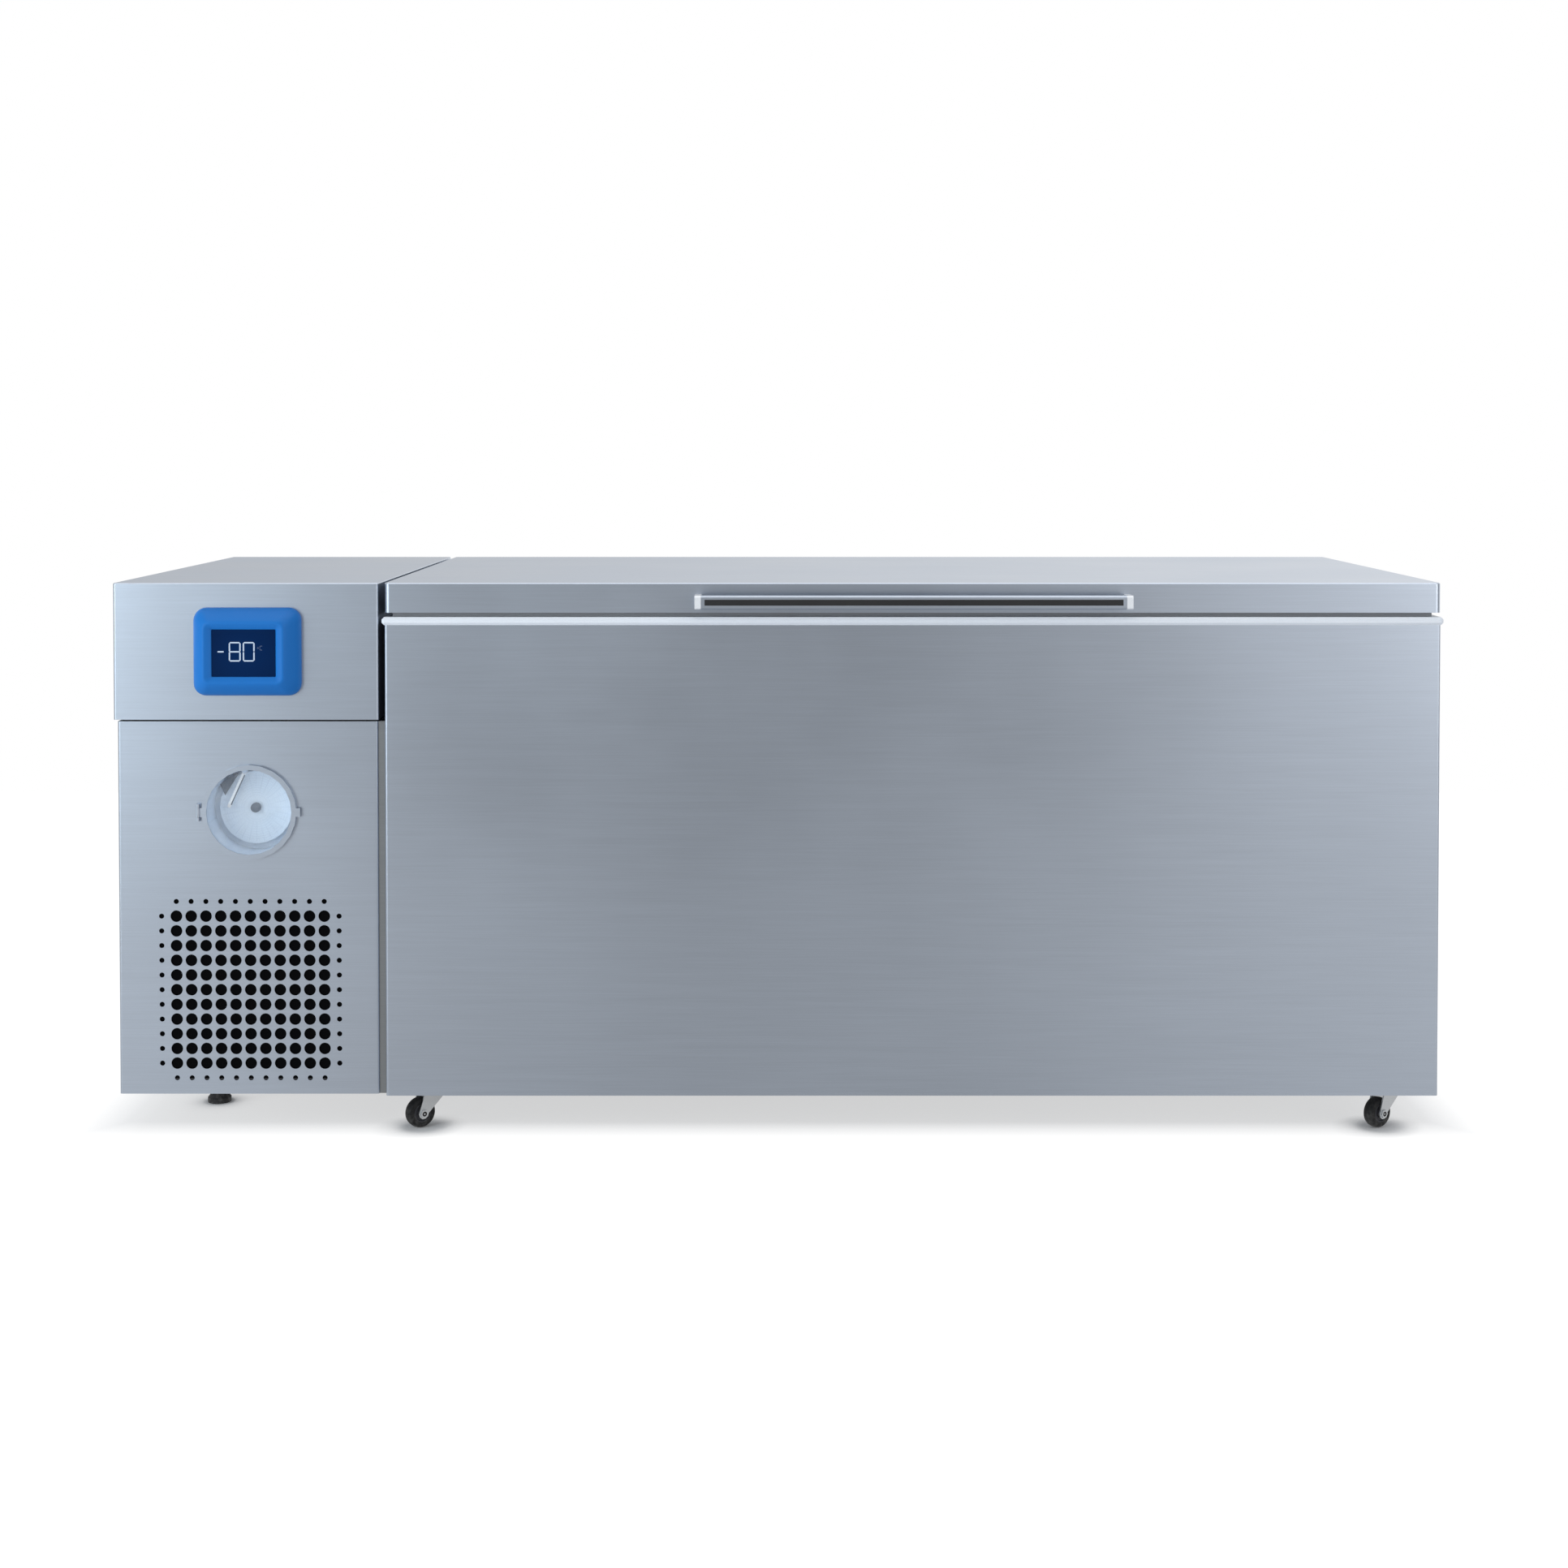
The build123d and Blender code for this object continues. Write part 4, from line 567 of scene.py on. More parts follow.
def dress(material, *nodes):
    """Gives CAD nodes a finish, in their own material slots."""
    for node in nodes:
        for slot in frame["nodes"][node].material_slots:
            slot.material = material


def join_shaders(tree, factor, first, second):
    """Two shaders mixed by a factor."""
    mix = tree.nodes.new("ShaderNodeMixShader")
    for socket, value in zip(mix.inputs, (factor, first, second)):
        tree.links.new(value, socket)
    return mix.outputs["Shader"]


# Pieces


def finish_piece(name, bm, material, body, sharp=35.0):
    """Closes a bmesh into a named piece that rides on a body."""
    bmesh.ops.recalc_face_normals(bm, faces=bm.faces)
    for face in bm.faces:
        face.smooth = True
    mesh = bpy.data.meshes.new(name)
    bm.to_mesh(mesh)
    bm.free()
    mesh.set_sharp_from_angle(angle=radians(sharp))
    mesh.materials.append(material)
    piece = bpy.data.objects.new(name, mesh)
    bpy.context.scene.collection.objects.link(piece)
    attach(piece, body)
    return piece


def add_box(bm, low, high):
    """A box between two corners."""
    low, high = Vector(low), Vector(high)
    size = Matrix.Diagonal((*(high - low), 1.0))
    bmesh.ops.create_cube(bm, size=1.0, matrix=Matrix.Translation((low + high) / 2) @ size)


def add_lathe(bm, profile, place, steps):
    """A closed profile of radius and width, spun about the Y axis of a place."""
    verts = [bm.verts.new((radius, width, 0.0)) for radius, width in profile]
    edges = [bm.edges.new(pair) for pair in zip(verts, verts[1:] + verts[:1])]
    before = set(bm.verts) - set(verts)
    bmesh.ops.spin(
        bm, geom=verts + edges, cent=(0, 0, 0), axis=(0, 1, 0), angle=2 * pi, steps=steps, use_merge=True
    )
    bmesh.ops.transform(bm, matrix=place, verts=[v for v in bm.verts if v not in before])


def moulding(bm, rings, centre, segments):
    """Rounded rectangles at several depths, bridged into one closed moulding."""
    loops = []
    for width, height, radius, depth in rings:
        before = set(bm.edges)
        corners = []
        for x, z in ((-1, -1), (1, -1), (1, 1), (-1, 1)):
            corners.append(bm.verts.new(centre + Vector((x * width / 2, -depth, z * height / 2))))
        bm.faces.new(corners)
        bmesh.ops.bevel(
            bm, geom=corners, offset=radius, offset_type="OFFSET", segments=segments, profile=0.5,
            affect="VERTICES", material=-1,
        )
        loops.append([edge for edge in bm.edges if edge not in before])
    ends = {face for loop in (loops[0], loops[-1]) for edge in loop for face in edge.link_faces}
    bmesh.ops.delete(bm, geom=[face for face in bm.faces if face not in ends], context="FACES_ONLY")
    for near, far in zip(loops, loops[1:]):
        bmesh.ops.bridge_loops(bm, edges=near + far)


def add_plate(bm, outline, depth):
    """A flat outline made into a plate, by a depth along the Y axis."""
    face = bm.faces.new([bm.verts.new(point) for point in outline])
    raised = bmesh.ops.extrude_face_region(bm, geom=[face])["geom"]
    verts = [item for item in raised if isinstance(item, bmesh.types.BMVert)]
    bmesh.ops.translate(bm, vec=(0.0, depth, 0.0), verts=verts)


def add_bar(bm, centre, size, upright, stroke, depth):
    """One pointed bar of a seven-bar figure."""
    half = size / 2
    nib = stroke / 2
    short = half - nib
    bar = ((-half, 0), (-short, nib), (short, nib), (half, 0), (short, -nib), (-short, -nib))
    outline = []
    for along, across in bar:
        x, z = (across, along) if upright else (along, across)
        outline.append(centre + Vector((x, 0.0, z)))
    add_plate(bm, outline, -depth)


def add_screw(bm, point, outward, radius, rise):
    """A pan head with a round recess, on a face with that outward direction."""
    turn = Vector((0, 0, 1)).rotation_difference(Vector(outward)).to_matrix().to_4x4()
    place = Matrix.Translation(point) @ turn
    before = set(bm.verts)
    bmesh.ops.create_cone(
        bm, cap_ends=True, segments=12, radius1=radius, radius2=radius * 0.78, depth=rise,
        matrix=Matrix.Translation((0.0, 0.0, rise / 2)),
    )
    verts = [v for v in bm.verts if v not in before]
    top = max({f for v in verts for f in v.link_faces}, key=lambda f: f.calc_center_median().z)
    for inset, sink in ((0.35, 0.0), (0.08, 0.5)):
        bmesh.ops.inset_region(
            bm, faces=[top], thickness=radius * inset, depth=-rise * sink, use_even_offset=True
        )
    bmesh.ops.transform(bm, matrix=place, verts=[v for v in bm.verts if v not in before])


def cut_sheet(bm, cutter, thickness):
    """The folded sheet with its thickness, cut by another mesh."""
    pieces = []
    for name, source in (("sheet", bm), ("cutter", cutter)):
        bmesh.ops.recalc_face_normals(source, faces=source.faces)
        mesh = bpy.data.meshes.new(name)
        source.to_mesh(mesh)
        source.free()
        pieces.append(bpy.data.objects.new(name, mesh))
        bpy.context.scene.collection.objects.link(pieces[-1])
    sheet, tool = pieces
    wall = sheet.modifiers.new("wall", "SOLIDIFY")
    wall.thickness = thickness
    wall.offset = -1.0
    cut = sheet.modifiers.new("cut", "BOOLEAN")
    cut.operation = "DIFFERENCE"
    cut.solver = "EXACT"
    cut.object = tool
    shown = sheet.evaluated_get(bpy.context.evaluated_depsgraph_get())
    done = bmesh.new()
    done.from_mesh(bpy.data.meshes.new_from_object(shown))
    for piece in pieces:
        mesh = piece.data
        bpy.data.objects.remove(piece)
        bpy.data.meshes.remove(mesh)
    return done


class FREEZER_OT_stage(bpy.types.Operator):
    """Sets the floor, the soft light and the camera."""

    bl_idname = "freezer.stage"
    bl_label = "Stage"

    def execute(self, context):
        stage = context.scene.freezer_stage
        context.scene.view_settings.view_transform = "Standard"
        self.lay_floor(stage)
        self.light_world(context, stage)
        for name, place, target, size, power, tint in SOFTBOXES:
            lamp = bpy.data.lights.new(name, "AREA")
            lamp.shape = "RECTANGLE"
            lamp.size, lamp.size_y = size
            lamp.energy = power
            lamp.color = tint
            holder = bpy.data.objects.new(name, lamp)
            holder.location = place
            holder.rotation_euler = (Vector(target) - Vector(place)).to_track_quat("-Z", "Y").to_euler()
            holder.visible_glossy = name != "side_softbox"
            context.scene.collection.objects.link(holder)
        camera = bpy.data.objects.new("camera", bpy.data.cameras.new("camera"))
        camera.location = stage.camera
        camera.rotation_euler = (pi / 2 - stage.pitch, 0.0, 0.0)
        camera.data.lens = stage.lens
        camera.data.shift_y = stage.shift
        context.scene.collection.objects.link(camera)
        context.scene.camera = camera
        return {"FINISHED"}

    def lay_floor(self, stage):
        """A pale floor, white where the shadow ends, with painted contact shade from ambient occlusion by
        the wheels and feet, and grey as the steel mirrors it.
        """
        bm = bmesh.new()
        bmesh.ops.create_grid(bm, x_segments=2, y_segments=2, size=FLOOR_HALF)
        mesh = bpy.data.meshes.new("floor")
        bm.to_mesh(mesh)
        bm.free()
        material = bpy.data.materials.new("pale_floor")
        material.use_nodes = True
        tree = material.node_tree
        tree.nodes.remove(tree.nodes["Principled BSDF"])
        matt = tree.nodes.new("ShaderNodeBsdfDiffuse")
        matt.inputs["Color"].default_value = (*stage.floor, 1.0)
        white = tree.nodes.new("ShaderNodeEmission")
        white.inputs["Strength"].default_value = FLOOR_WHITE
        grey = tree.nodes.new("ShaderNodeEmission")
        place = add_split(tree, object_coords(tree))
        across = add_math(tree, "ABSOLUTE", place["X"], 0.0)
        along = add_math(tree, "ABSOLUTE", place["Y"], 0.0)
        ends = add_range(tree, across, *MIRROR_SPAN, stage.floor_grey, stage.floor_grey * MIRROR_GAIN)
        tree.links.new(ends, grey.inputs["Strength"])
        past_ends = add_range(tree, across, *SHADOW_ENDS, SHADOW_WHITE, 1.0)
        past_sides = add_range(tree, along, *SHADOW_SIDES, SHADOW_WHITE, 1.0)
        share = add_math(tree, "MAXIMUM", past_ends, past_sides)
        # Painted contact shade: the floor shows less white where ambient occlusion finds the wheels and
        # feet close by
        occlusion = tree.nodes.new("ShaderNodeAmbientOcclusion")
        occlusion.inputs["Distance"].default_value = CONTACT_SHADE_REACH
        contact_shade = add_range(tree, occlusion.outputs["AO"], *CONTACT_SHADE_RANGE)
        path = tree.nodes.new("ShaderNodeLightPath")
        share = add_math(tree, "MULTIPLY", share, contact_shade)
        share = add_math(tree, "MULTIPLY", path.outputs["Is Camera Ray"], share)
        shown = join_shaders(tree, share, matt.outputs["BSDF"], white.outputs["Emission"])
        surface = join_shaders(tree, path.outputs["Is Glossy Ray"], shown, grey.outputs["Emission"])
        tree.links.new(surface, tree.nodes["Material Output"].inputs["Surface"])
        mesh.materials.append(material)
        floor = bpy.data.objects.new("floor", mesh)
        bpy.context.scene.collection.objects.link(floor)

    def light_world(self, context, stage):
        """Even light, a white background, and a room that the steel mirrors."""
        world = bpy.data.worlds.new("studio")
        context.scene.world = world
        world.use_nodes = True
        tree = world.node_tree
        even = tree.nodes["Background"]
        even.inputs["Color"].default_value = (0.95, 0.97, 1.0, 1.0)
        even.inputs["Strength"].default_value = stage.ambient
        path = tree.nodes.new("ShaderNodeLightPath")
        way = add_split(tree, tree.nodes.new("ShaderNodeTexCoord").outputs["Generated"])
        left = add_range(tree, way["X"], *ROOM_LEFT, 1.0, stage.front_grey)
        right = add_range(tree, way["X"], *ROOM_RIGHT, stage.front_grey, 1.0)
        behind = add_range(tree, way["Y"], *ROOM_BEHIND)
        backdrop = add_range(tree, way["X"], *BACKDROP)
        ends = add_range(tree, add_math(tree, "ABSOLUTE", way["X"], 0.0), *ROOM_ENDS)
        room = add_math(tree, "MULTIPLY", add_math(tree, "MAXIMUM", left, right), ends)
        room = add_math(tree, "MAXIMUM", room, add_math(tree, "MULTIPLY", behind, backdrop))
        room = add_math(tree, "MAXIMUM", room, path.outputs["Is Camera Ray"])
        seen = tree.nodes.new("ShaderNodeBackground")
        seen.inputs["Color"].default_value = (1.0, 1.0, 1.0, 1.0)
        tree.links.new(room, seen.inputs["Strength"])
        sight = path.outputs["Is Camera Ray"]
        for kind in ("Is Glossy Ray", "Is Transmission Ray"):
            sight = add_math(tree, "MAXIMUM", sight, path.outputs[kind])
        surface = join_shaders(tree, sight, even.outputs["Background"], seen.outputs["Background"])
        tree.links.new(surface, tree.nodes["World Output"].inputs["Surface"])


class FREEZER_OT_steel(bpy.types.Operator):
    """Finishes the metal sheets, the liner, the hinges and the metal of the casters."""

    bl_idname = "freezer.steel"
    bl_label = "Metal finishes"

    def execute(self, context):
        finish = context.scene.freezer_finish
        sheet = brushed_steel("brushed_sheet", finish.steel, 0.325)
        dress(
            sheet, "chest_front_panel", "chest_left_panel", "chest_right_panel", "lid_pan", "hood",
            "machine_left_panel", "machine_right_panel", "recorder_door_ring", "handle_bar",
        )
        plain, tray = [
            brushed_steel(name, finish.galvanised, 0.48, fineness=0.4, contrast=0.14)
            for name in ("galvanised_sheet", "taped_tray")
        ]
        dress(plain, "chest_rear_panel", "chest_floor_pan", "machine_rear_panel", "control_box")
        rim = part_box("machine_base_tray")[1].z
        dress(seal_edge(tray, finish.black, rim - RIM_TAPE), "machine_base_tray")
        dress(brushed_steel("tank_liner", finish.liner, 0.42, fineness=0.7), "inner_liner", "lid_liner")
        post = brushed_steel("bright_post", finish.bright, 0.22, fineness=2.0, contrast=0.04, metallic=0.2)
        dress(post, "handle_posts")
        zinc = brushed_steel("zinc_plate", finish.zinc, 0.38, fineness=1.5, contrast=0.12)
        dress(
            zinc, "caster_plates", "hinge_body_leaves", "hinge_lid_leaves",
            "condenser", *[f"{corner}_fork" for corner in CORNERS],
        )
        # The strip in the slit between the cabinets is zinc darkened to stand in for the slit's shade: a
        # painted shade
        slit_shade_zinc = brushed_steel("slit_shaded_zinc", tone(finish.zinc, 0.42), 0.5, contrast=0.12)
        dress(slit_shade_zinc, "joining_spacers")
        copper = brushed_steel("copper_tube", finish.copper, 0.35, fineness=2.0)
        dress(copper, "refrigerant_lines", "evaporator_coil")
        return {"FINISHED"}


class FREEZER_OT_plastics(bpy.types.Operator):
    """Finishes the collar, seals, foam, rubber and the black works."""

    bl_idname = "freezer.plastics"
    bl_label = "Plastic and rubber finishes"

    def execute(self, context):
        finish = context.scene.freezer_finish
        dress(moulded("white_collar", finish.collar, 0.38, relief=0.04, coat=0.15), "breaker_collar")
        rubber = moulded("black_rubber", finish.black, 0.62, scale=700.0, relief=0.15, dust=0.25)
        dress(rubber, "compressor_grommets", "front_foot", "rear_foot")
        dress(moulded("grey_seal", finish.seal, 0.55, scale=700.0, relief=0.1), "lid_gasket")
        dress(moulded("grip_strip", finish.black, 0.45, scale=1200.0), "handle_grip")
        # On the machine deck this black also deepens the line between the hood and the lower panel: partly
        # the deck's own colour, partly painted shade
        enamel = moulded("black_enamel", tone(finish.black, 2.2), 0.40, scale=500.0, coat=0.2)
        dress(
            enamel, "high_stage_compressor", "low_stage_compressor", "fan_motor", "fan_shroud", "fan_blade",
            "machine_deck", "display_module", "recorder_motor",
        )
        weave = moulded("filter_foam", tone(finish.black, 0.25), 0.9, scale=420.0, relief=0.6, gloss=0.02)
        dress(weave, "air_filter")
        jacket = moulded("foam_jacket", tone(finish.black, 3.0), 0.75, scale=300.0, relief=0.3)
        dress(jacket, "cascade_exchanger")
        foam = moulded("rigid_foam", finish.foam, 0.85, scale=600.0, relief=0.4)
        dress(foam, "chest_insulation", "lid_insulation")
        dress(moulded("inlet_plastic", finish.black, 0.5), "mains_inlet")
        dress(moulded("rocker_plastic", finish.black, 0.20, relief=0.03, coat=0.3), "power_rocker")
        return {"FINISHED"}


class FREEZER_OT_vent_panel(bpy.types.Operator):
    """Makes the folded machine front with its round vent holes."""

    bl_idname = "freezer.vent_panel"
    bl_label = "Vent panel"

    def execute(self, context):
        detail = context.scene.freezer_detail
        low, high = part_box("machine_front_panel")
        centre = joint_point("chart_turn")
        bm = bmesh.new()
        add_box(bm, low, high)
        unused = [f for f in bm.faces if abs(f.normal.z) > 0.5 or f.normal.y > 0.5]
        bmesh.ops.delete(bm, geom=unused, context="FACES_ONLY")
        folds = [e for e in bm.edges if len(e.link_faces) == 2]
        bmesh.ops.bevel(
            bm, geom=folds, offset=detail.bend, segments=FOLD_STEPS, profile=0.5,
            affect="EDGES", material=-1,
        )
        cutter = bmesh.new()
        middle = (detail.vent_count - 1) / 2
        steps = [(i - middle) * detail.vent_pitch for i in range(detail.vent_count)]
        edge = (middle + 1) * detail.vent_pitch
        holes = [(x, z, detail.vent_radius, VENT_SIDES) for x in steps for z in steps]
        for step in steps:
            for x, z in ((step, edge), (step, -edge), (edge, step), (-edge, step)):
                holes.append((x, z, detail.vent_edge_radius, EDGE_VENT_SIDES))
        holes = [(centre.x + x, detail.vent_height + z, radius, sides) for x, z, radius, sides in holes]
        holes.append((centre.x, centre.z, detail.recorder_hole, RECORDER_SIDES))
        for x, z, radius, sides in holes:
            place = Matrix.Translation((x, low.y, z)) @ Matrix.Rotation(pi / 2, 4, "X")
            bmesh.ops.create_cone(
                cutter, cap_ends=True, segments=sides, radius1=radius, radius2=radius,
                depth=6 * detail.sheet, matrix=place,
            )
        done = cut_sheet(bm, cutter, detail.sheet)
        panel = finish_piece(
            "vent_panel", done, bpy.data.materials["brushed_sheet"], "cabinet", sharp=5.0
        )
        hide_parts("machine_front_panel")
        return {"FINISHED"}


class FREEZER_OT_display(bpy.types.Operator):
    """Makes the moulded bezel and the lit figures, and finishes the screen."""

    bl_idname = "freezer.display"
    bl_label = "Display"

    def execute(self, context):
        finish = context.scene.freezer_finish
        detail = context.scene.freezer_detail
        low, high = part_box("display_bezel")
        screen_low, screen_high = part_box("display_screen")
        centre = Vector(((low.x + high.x) / 2, high.y, (low.z + high.z) / 2))
        width, height, depth = high.x - low.x, high.z - low.z, high.y - low.y
        opening = (screen_high.x - screen_low.x, screen_high.z - screen_low.z)
        seat = high.y - screen_low.y
        crown = [size + margin for size, margin in zip(opening, CROWN_MARGIN)]
        rings = [(width, height, BEZEL_CORNER, 0.0), (width, height, BEZEL_CORNER, BEZEL_EDGE)]
        for share, rise in BEZEL_CURVE:
            rings.append((
                width + (crown[0] - width) * share, height + (crown[1] - height) * share,
                BEZEL_CORNER + (CROWN_CORNER - BEZEL_CORNER) * share, depth * rise,
            ))
        rings.append((*crown, CROWN_CORNER, depth))
        margin, corner, rise = CROWN_FLAT
        rings.append((*[size - margin for size in crown], corner, depth * rise))
        for margin, corner, lift in BEZEL_LIP:
            rings.append((*[size + margin for size in opening], corner, seat + lift))
        bm = bmesh.new()
        moulding(bm, rings, centre, 6)
        blue = moulded(
            "blue_moulding", finish.bezel, 0.46, scale=1400.0, relief=0.03, gloss=0.3, contrast=0.05
        )
        bezel = finish_piece("display_frame", bm, blue, "cabinet", sharp=60.0)
        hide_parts("display_bezel")
        middle = (screen_low + screen_high) / 2
        middle.y = screen_low.y
        dress(dark_screen("dark_glass", finish.screen, middle), "display_screen")
        figures = bmesh.new()
        for bars, x, share in FIGURES:
            self.draw_figure(
                figures, bars, middle + Vector((x, 0.0, FIGURE_LIFT)), detail.digit_width * share,
                detail.digit_height, detail.digit_stroke,
            )
        unit = bmesh.new()
        for bars, x, z, size in UNIT_FIGURES:
            self.draw_figure(unit, bars, middle + Vector((x, 0.0, z)), *size)
        lamp = lit_figure("lit_bars", finish.digits, 0.24)
        finish_piece("display_figures", figures, lamp, "cabinet")
        faint = lit_figure("faint_bars", finish.unit, 0.3)
        finish_piece("display_unit", unit, faint, "cabinet")
        return {"FINISHED"}

    def draw_figure(self, bm, names, centre, width, height, stroke):
        """A figure made of those of its seven bars that are lit."""
        wide = width - stroke
        tall = (height - stroke) / 2
        bars = {
            "a": (0.0, tall, False), "g": (0.0, 0.0, False), "d": (0.0, -tall, False),
            "b": (wide / 2, tall / 2, True), "c": (wide / 2, -tall / 2, True),
            "f": (-wide / 2, tall / 2, True), "e": (-wide / 2, -tall / 2, True),
        }
        for name in names:
            x, z, upright = bars[name]
            span = (tall if upright else wide) - BAR_GAP
            add_bar(bm, centre + Vector((x, BAR_SINK, z)), span, upright, stroke, BAR_RISE)


class FREEZER_OT_recorder(bpy.types.Operator):
    """Finishes the recorder's cup, chart, hub and window, and makes the pen's painted highlight and painted
    shadow strips and a dark plate in the wedge beside the arm.
    """

    bl_idname = "freezer.recorder"
    bl_label = "Chart recorder"

    def execute(self, context):
        finish = context.scene.freezer_finish
        detail = context.scene.freezer_detail
        low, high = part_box("recorder_chart")
        middle = (low + high) / 2
        cup = moulded("recorder_cup", finish.recorder, 0.42, relief=0.04)
        dress(steel_rim(cup, finish.steel, middle, detail.recorder_hole), "recorder_case")
        paper = chart_paper("chart_print", finish.paper, finish.print_ink, middle, (high.x - low.x) / 2)
        dress(paper, "recorder_chart")
        dress(moulded("hub_plastic", finish.hub, 0.5, gloss=0.2), "recorder_hub")
        dress(brushed_steel("pen_metal", finish.bright, 0.35, fineness=2.0, contrast=0.04), "recorder_pen")
        dress(clear_window("clear_sheet", (0.90, 0.94, 0.98)), "recorder_window")
        chart = joint_point("chart_turn")
        pivot = joint_point("pen_swing")
        tip = Vector((chart.x + PEN_TIP[0], pivot.y, chart.z + PEN_TIP[1]))
        # A dark strip beside the pen arm is painted shadow; the same dark fills the wedge between the arm
        # and the cup wall
        shadow_and_wedge = moulded("shadow_strip_and_wedge_plastic", finish.hub, 0.5, gloss=0.2)
        # A glowing white strip along the pen arm is a painted highlight
        white = lit_figure("pen_highlight_paint", finish.pen, 0.12)
        for name, material in (("pen_highlight_strip", white), ("pen_shadow_strip", shadow_and_wedge)):
            bm = bmesh.new()
            self.lay_strip(bm, pivot, tip, *PEN_STRIPS[name])
            finish_piece(name, bm, material, "pen")
        wedge = bmesh.new()
        place = Vector((chart.x, pivot.y + DARK_WEDGE_BACK, chart.z))
        add_plate(wedge, [place + Vector((x, 0.0, z)) for x, z in DARK_WEDGE], detail.sheet)
        finish_piece("pen_dark_wedge", wedge, shadow_and_wedge, "cabinet")
        return {"FINISHED"}

    def lay_strip(self, bm, pivot, tip, aside, width):
        """A thin strip along the front of the pen arm, off its middle by some way."""
        run = tip - pivot
        right = Vector((-run.z, 0.0, run.x)).normalized()
        middle = pivot + run * STRIP_MIDDLE + right * aside - Vector((0.0, STRIP_LIFT, 0.0))
        turn = Vector((0, 0, -1)).rotation_difference(run.normalized()).to_matrix().to_4x4()
        size = Matrix.Diagonal((width, STRIP_DEPTH, run.length * STRIP_SHARE, 1.0))
        bmesh.ops.create_cube(bm, size=1.0, matrix=Matrix.Translation(middle) @ turn @ size)


class FREEZER_OT_wheels(bpy.types.Operator):
    """Makes the tyre and the hub of each caster, and the sockets of its axle bolt."""

    bl_idname = "freezer.wheels"
    bl_label = "Caster wheels"

    def execute(self, context):
        finish = context.scene.freezer_finish
        tread = moulded(
            "tyre_rubber", tone(finish.black, 0.6), 0.6, scale=600.0, relief=0.2, gloss=0.3, dust=0.2
        )
        core = moulded("hub_moulding", tone(finish.black, 4.0), 0.45, gloss=0.3, dust=0.12)
        for corner in CORNERS:
            axle = JOINTS[f"{corner}_wheel_roll"]
            turn = Vector((0, 1, 0)).rotation_difference(Vector(axle["axis"])).to_matrix().to_4x4()
            place = Matrix.Translation(axle["pos_m"]) @ turn @ Matrix.Scale(MILLIMETRE, 4)
            for part, profile, finish_of in (("tyre", TYRE, tread), ("hub", HUB, core)):
                bm = bmesh.new()
                add_lathe(bm, profile, place, WHEEL_STEPS)
                wheel = finish_piece(f"{corner}_{part}", bm, finish_of, f"{corner}_roller")
                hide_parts(f"{corner}_wheel")
            bm = bmesh.new()
            for side in (-SOCKET_SIDE, SOCKET_SIDE):
                add_lathe(bm, SOCKET, place @ Matrix.Translation((0.0, side, 0.0)), SOCKET_STEPS)
            finish_piece(f"{corner}_axle_sockets", bm, tread, f"{corner}_swivel")
        return {"FINISHED"}


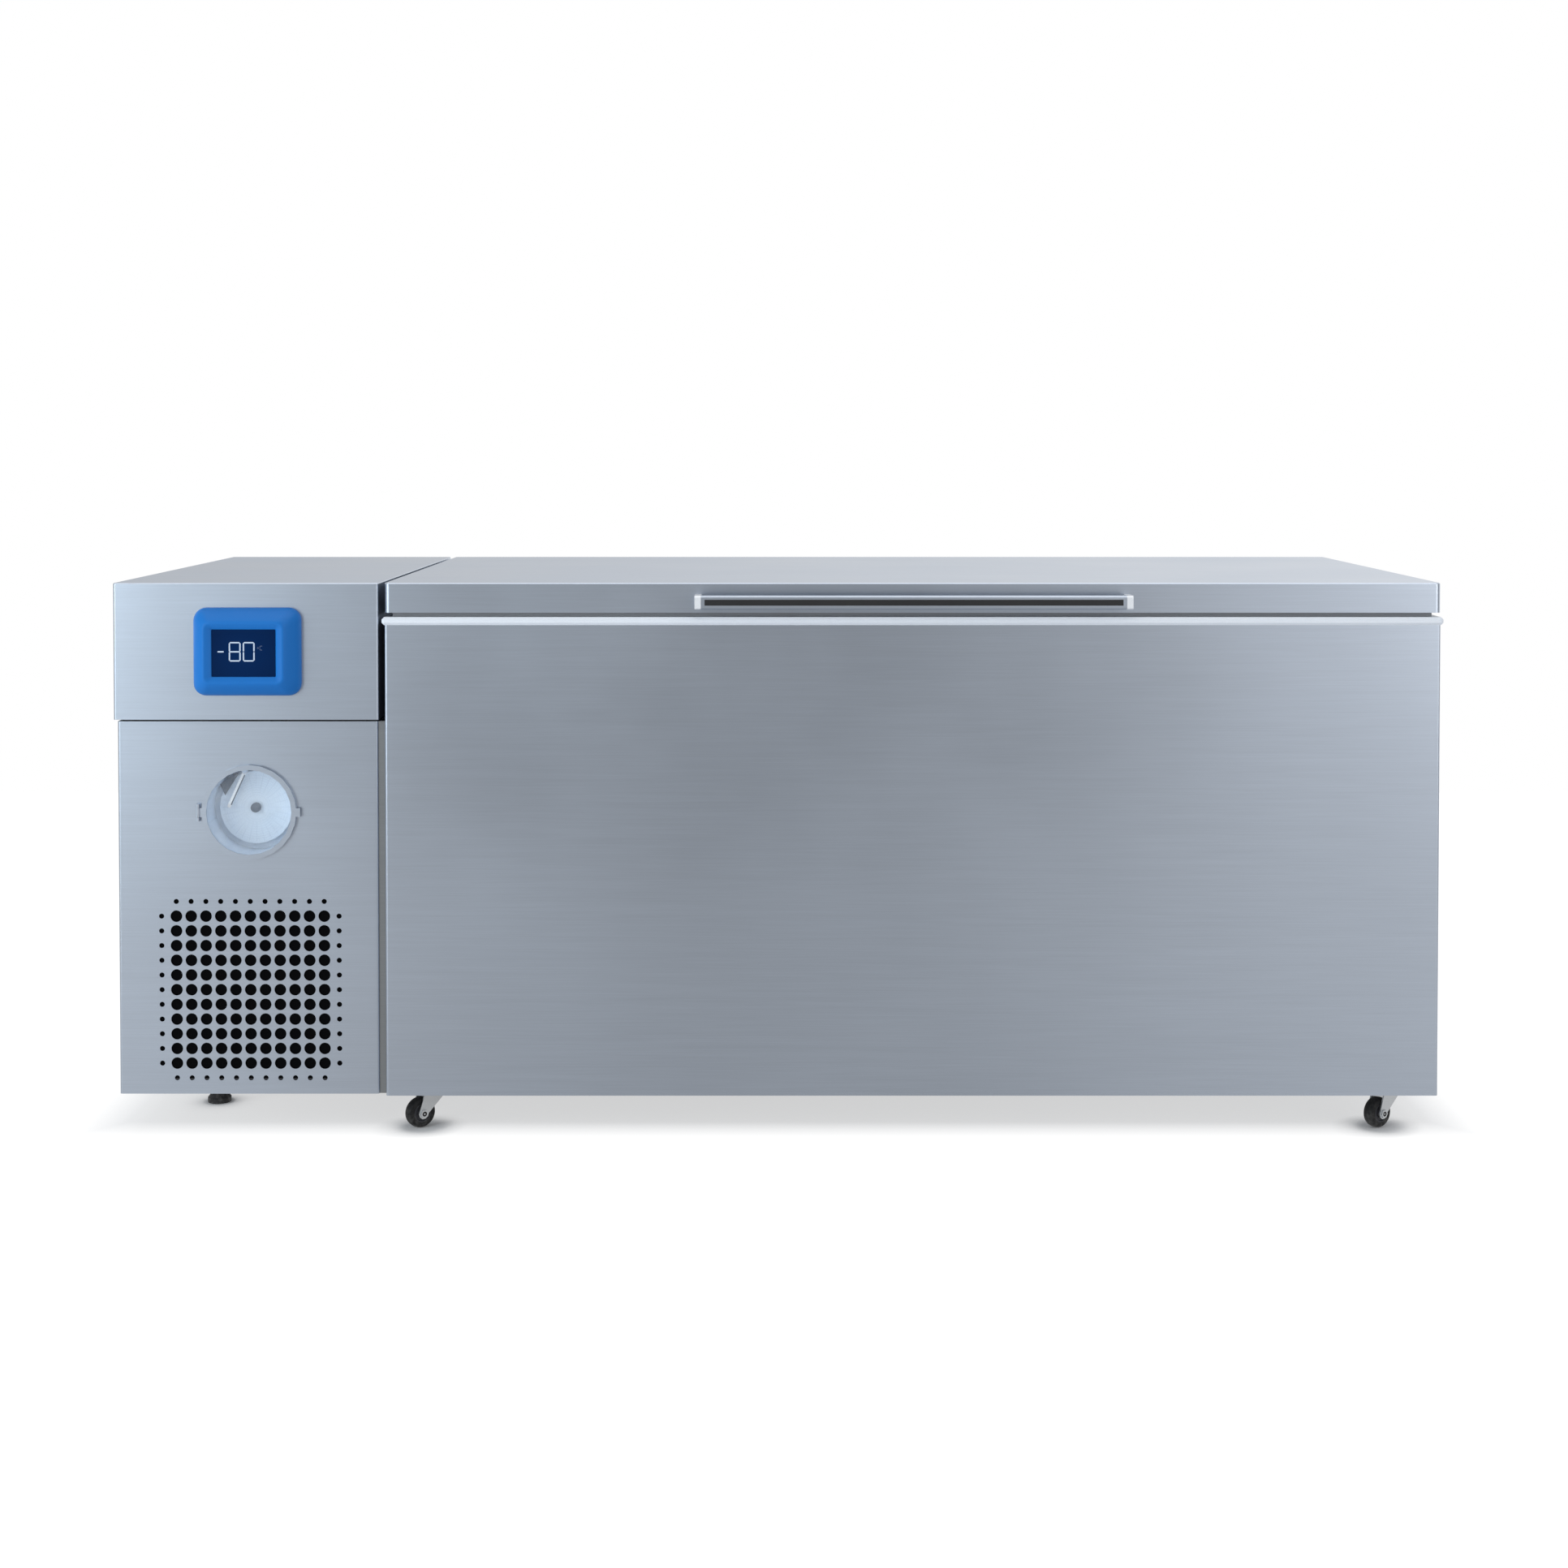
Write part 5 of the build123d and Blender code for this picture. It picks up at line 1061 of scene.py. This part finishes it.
class FREEZER_OT_fasteners(bpy.types.Operator):
    """Sets the screws of the hinges and of the rear and side sheets."""

    bl_idname = "freezer.fasteners"
    bl_label = "Screws"

    def execute(self, context):
        detail = context.scene.freezer_detail
        zinc = bpy.data.materials["zinc_plate"]
        radius, rise = detail.screw_radius, detail.screw_rise
        fixed = bmesh.new()
        for node, outward, shares, (side, foot, top) in SCREW_ROWS:
            low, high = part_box(node)
            across = 0 if outward[1] else 1
            point = Vector((low.x, high.y, 0.0))
            for share in shares:
                point[across] = low[across] + side + (high[across] - low[across] - 2 * side) * share
                for z in (low.z + foot, high.z - top):
                    add_screw(fixed, (point.x, point.y, z), outward, radius, rise)
        moving = bmesh.new()
        for target, node in ((fixed, "hinge_body_leaves"), (moving, "hinge_lid_leaves")):
            self.screw_leaves(target, node, radius, rise)
        finish_piece("sheet_screws", fixed, zinc, "cabinet")
        finish_piece("lid_leaf_screws", moving, zinc, "lid")
        return {"FINISHED"}

    def screw_leaves(self, bm, node, radius, rise):
        """Four screws in each leaf of a row of hinges."""
        low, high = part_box(node)
        pitch = (high.x - low.x - LEAF_WIDTH) / (HINGES - 1)
        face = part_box("chest_rear_panel")[1].y + LEAF_DEPTH
        if node == "hinge_lid_leaves":
            heights = [high.z - row for row in LID_LEAF_ROWS]
        else:
            heights = [low.z + row for row in BODY_LEAF_ROWS]
        for i in range(HINGES):
            x = low.x + LEAF_WIDTH / 2 + i * pitch
            for dx in (-LEAF_SPREAD, LEAF_SPREAD):
                for z in heights:
                    add_screw(bm, (x + dx, face, z), (0, 1, 0), radius * 0.8, rise)


class FREEZER_PT_panel(bpy.types.Panel):
    """Lists the freezer's settings and pieces."""

    bl_idname = "FREEZER_PT_panel"
    bl_label = "Chest freezer"
    bl_space_type = "VIEW_3D"
    bl_region_type = "UI"
    bl_category = "Freezer"

    def draw(self, context):
        layout = self.layout
        scene = context.scene
        for settings in (scene.freezer_finish, scene.freezer_detail, scene.freezer_stage):
            box = layout.box()
            for name in settings.__annotations__:
                box.prop(settings, name)
        for piece in PIECES:
            layout.operator(piece.bl_idname)


SETTINGS = (FreezerFinish, FreezerDetail, FreezerStage)
PIECES = (
    FREEZER_OT_stage,
    FREEZER_OT_steel,
    FREEZER_OT_plastics,
    FREEZER_OT_vent_panel,
    FREEZER_OT_display,
    FREEZER_OT_recorder,
    FREEZER_OT_wheels,
    FREEZER_OT_fasteners,
)


def register():
    for item in (*SETTINGS, *PIECES, FREEZER_PT_panel):
        bpy.utils.register_class(item)
    bpy.types.Scene.freezer_finish = PointerProperty(type=FreezerFinish)
    bpy.types.Scene.freezer_detail = PointerProperty(type=FreezerDetail)
    bpy.types.Scene.freezer_stage = PointerProperty(type=FreezerStage)


def unregister():
    del bpy.types.Scene.freezer_stage
    del bpy.types.Scene.freezer_detail
    del bpy.types.Scene.freezer_finish
    for item in reversed((*SETTINGS, *PIECES, FREEZER_PT_panel)):
        bpy.utils.unregister_class(item)


def main():
    register()
    for piece in PIECES:
        getattr(bpy.ops.freezer, piece.bl_idname.split(".")[1])()


if __name__ == "__main__":
    main()
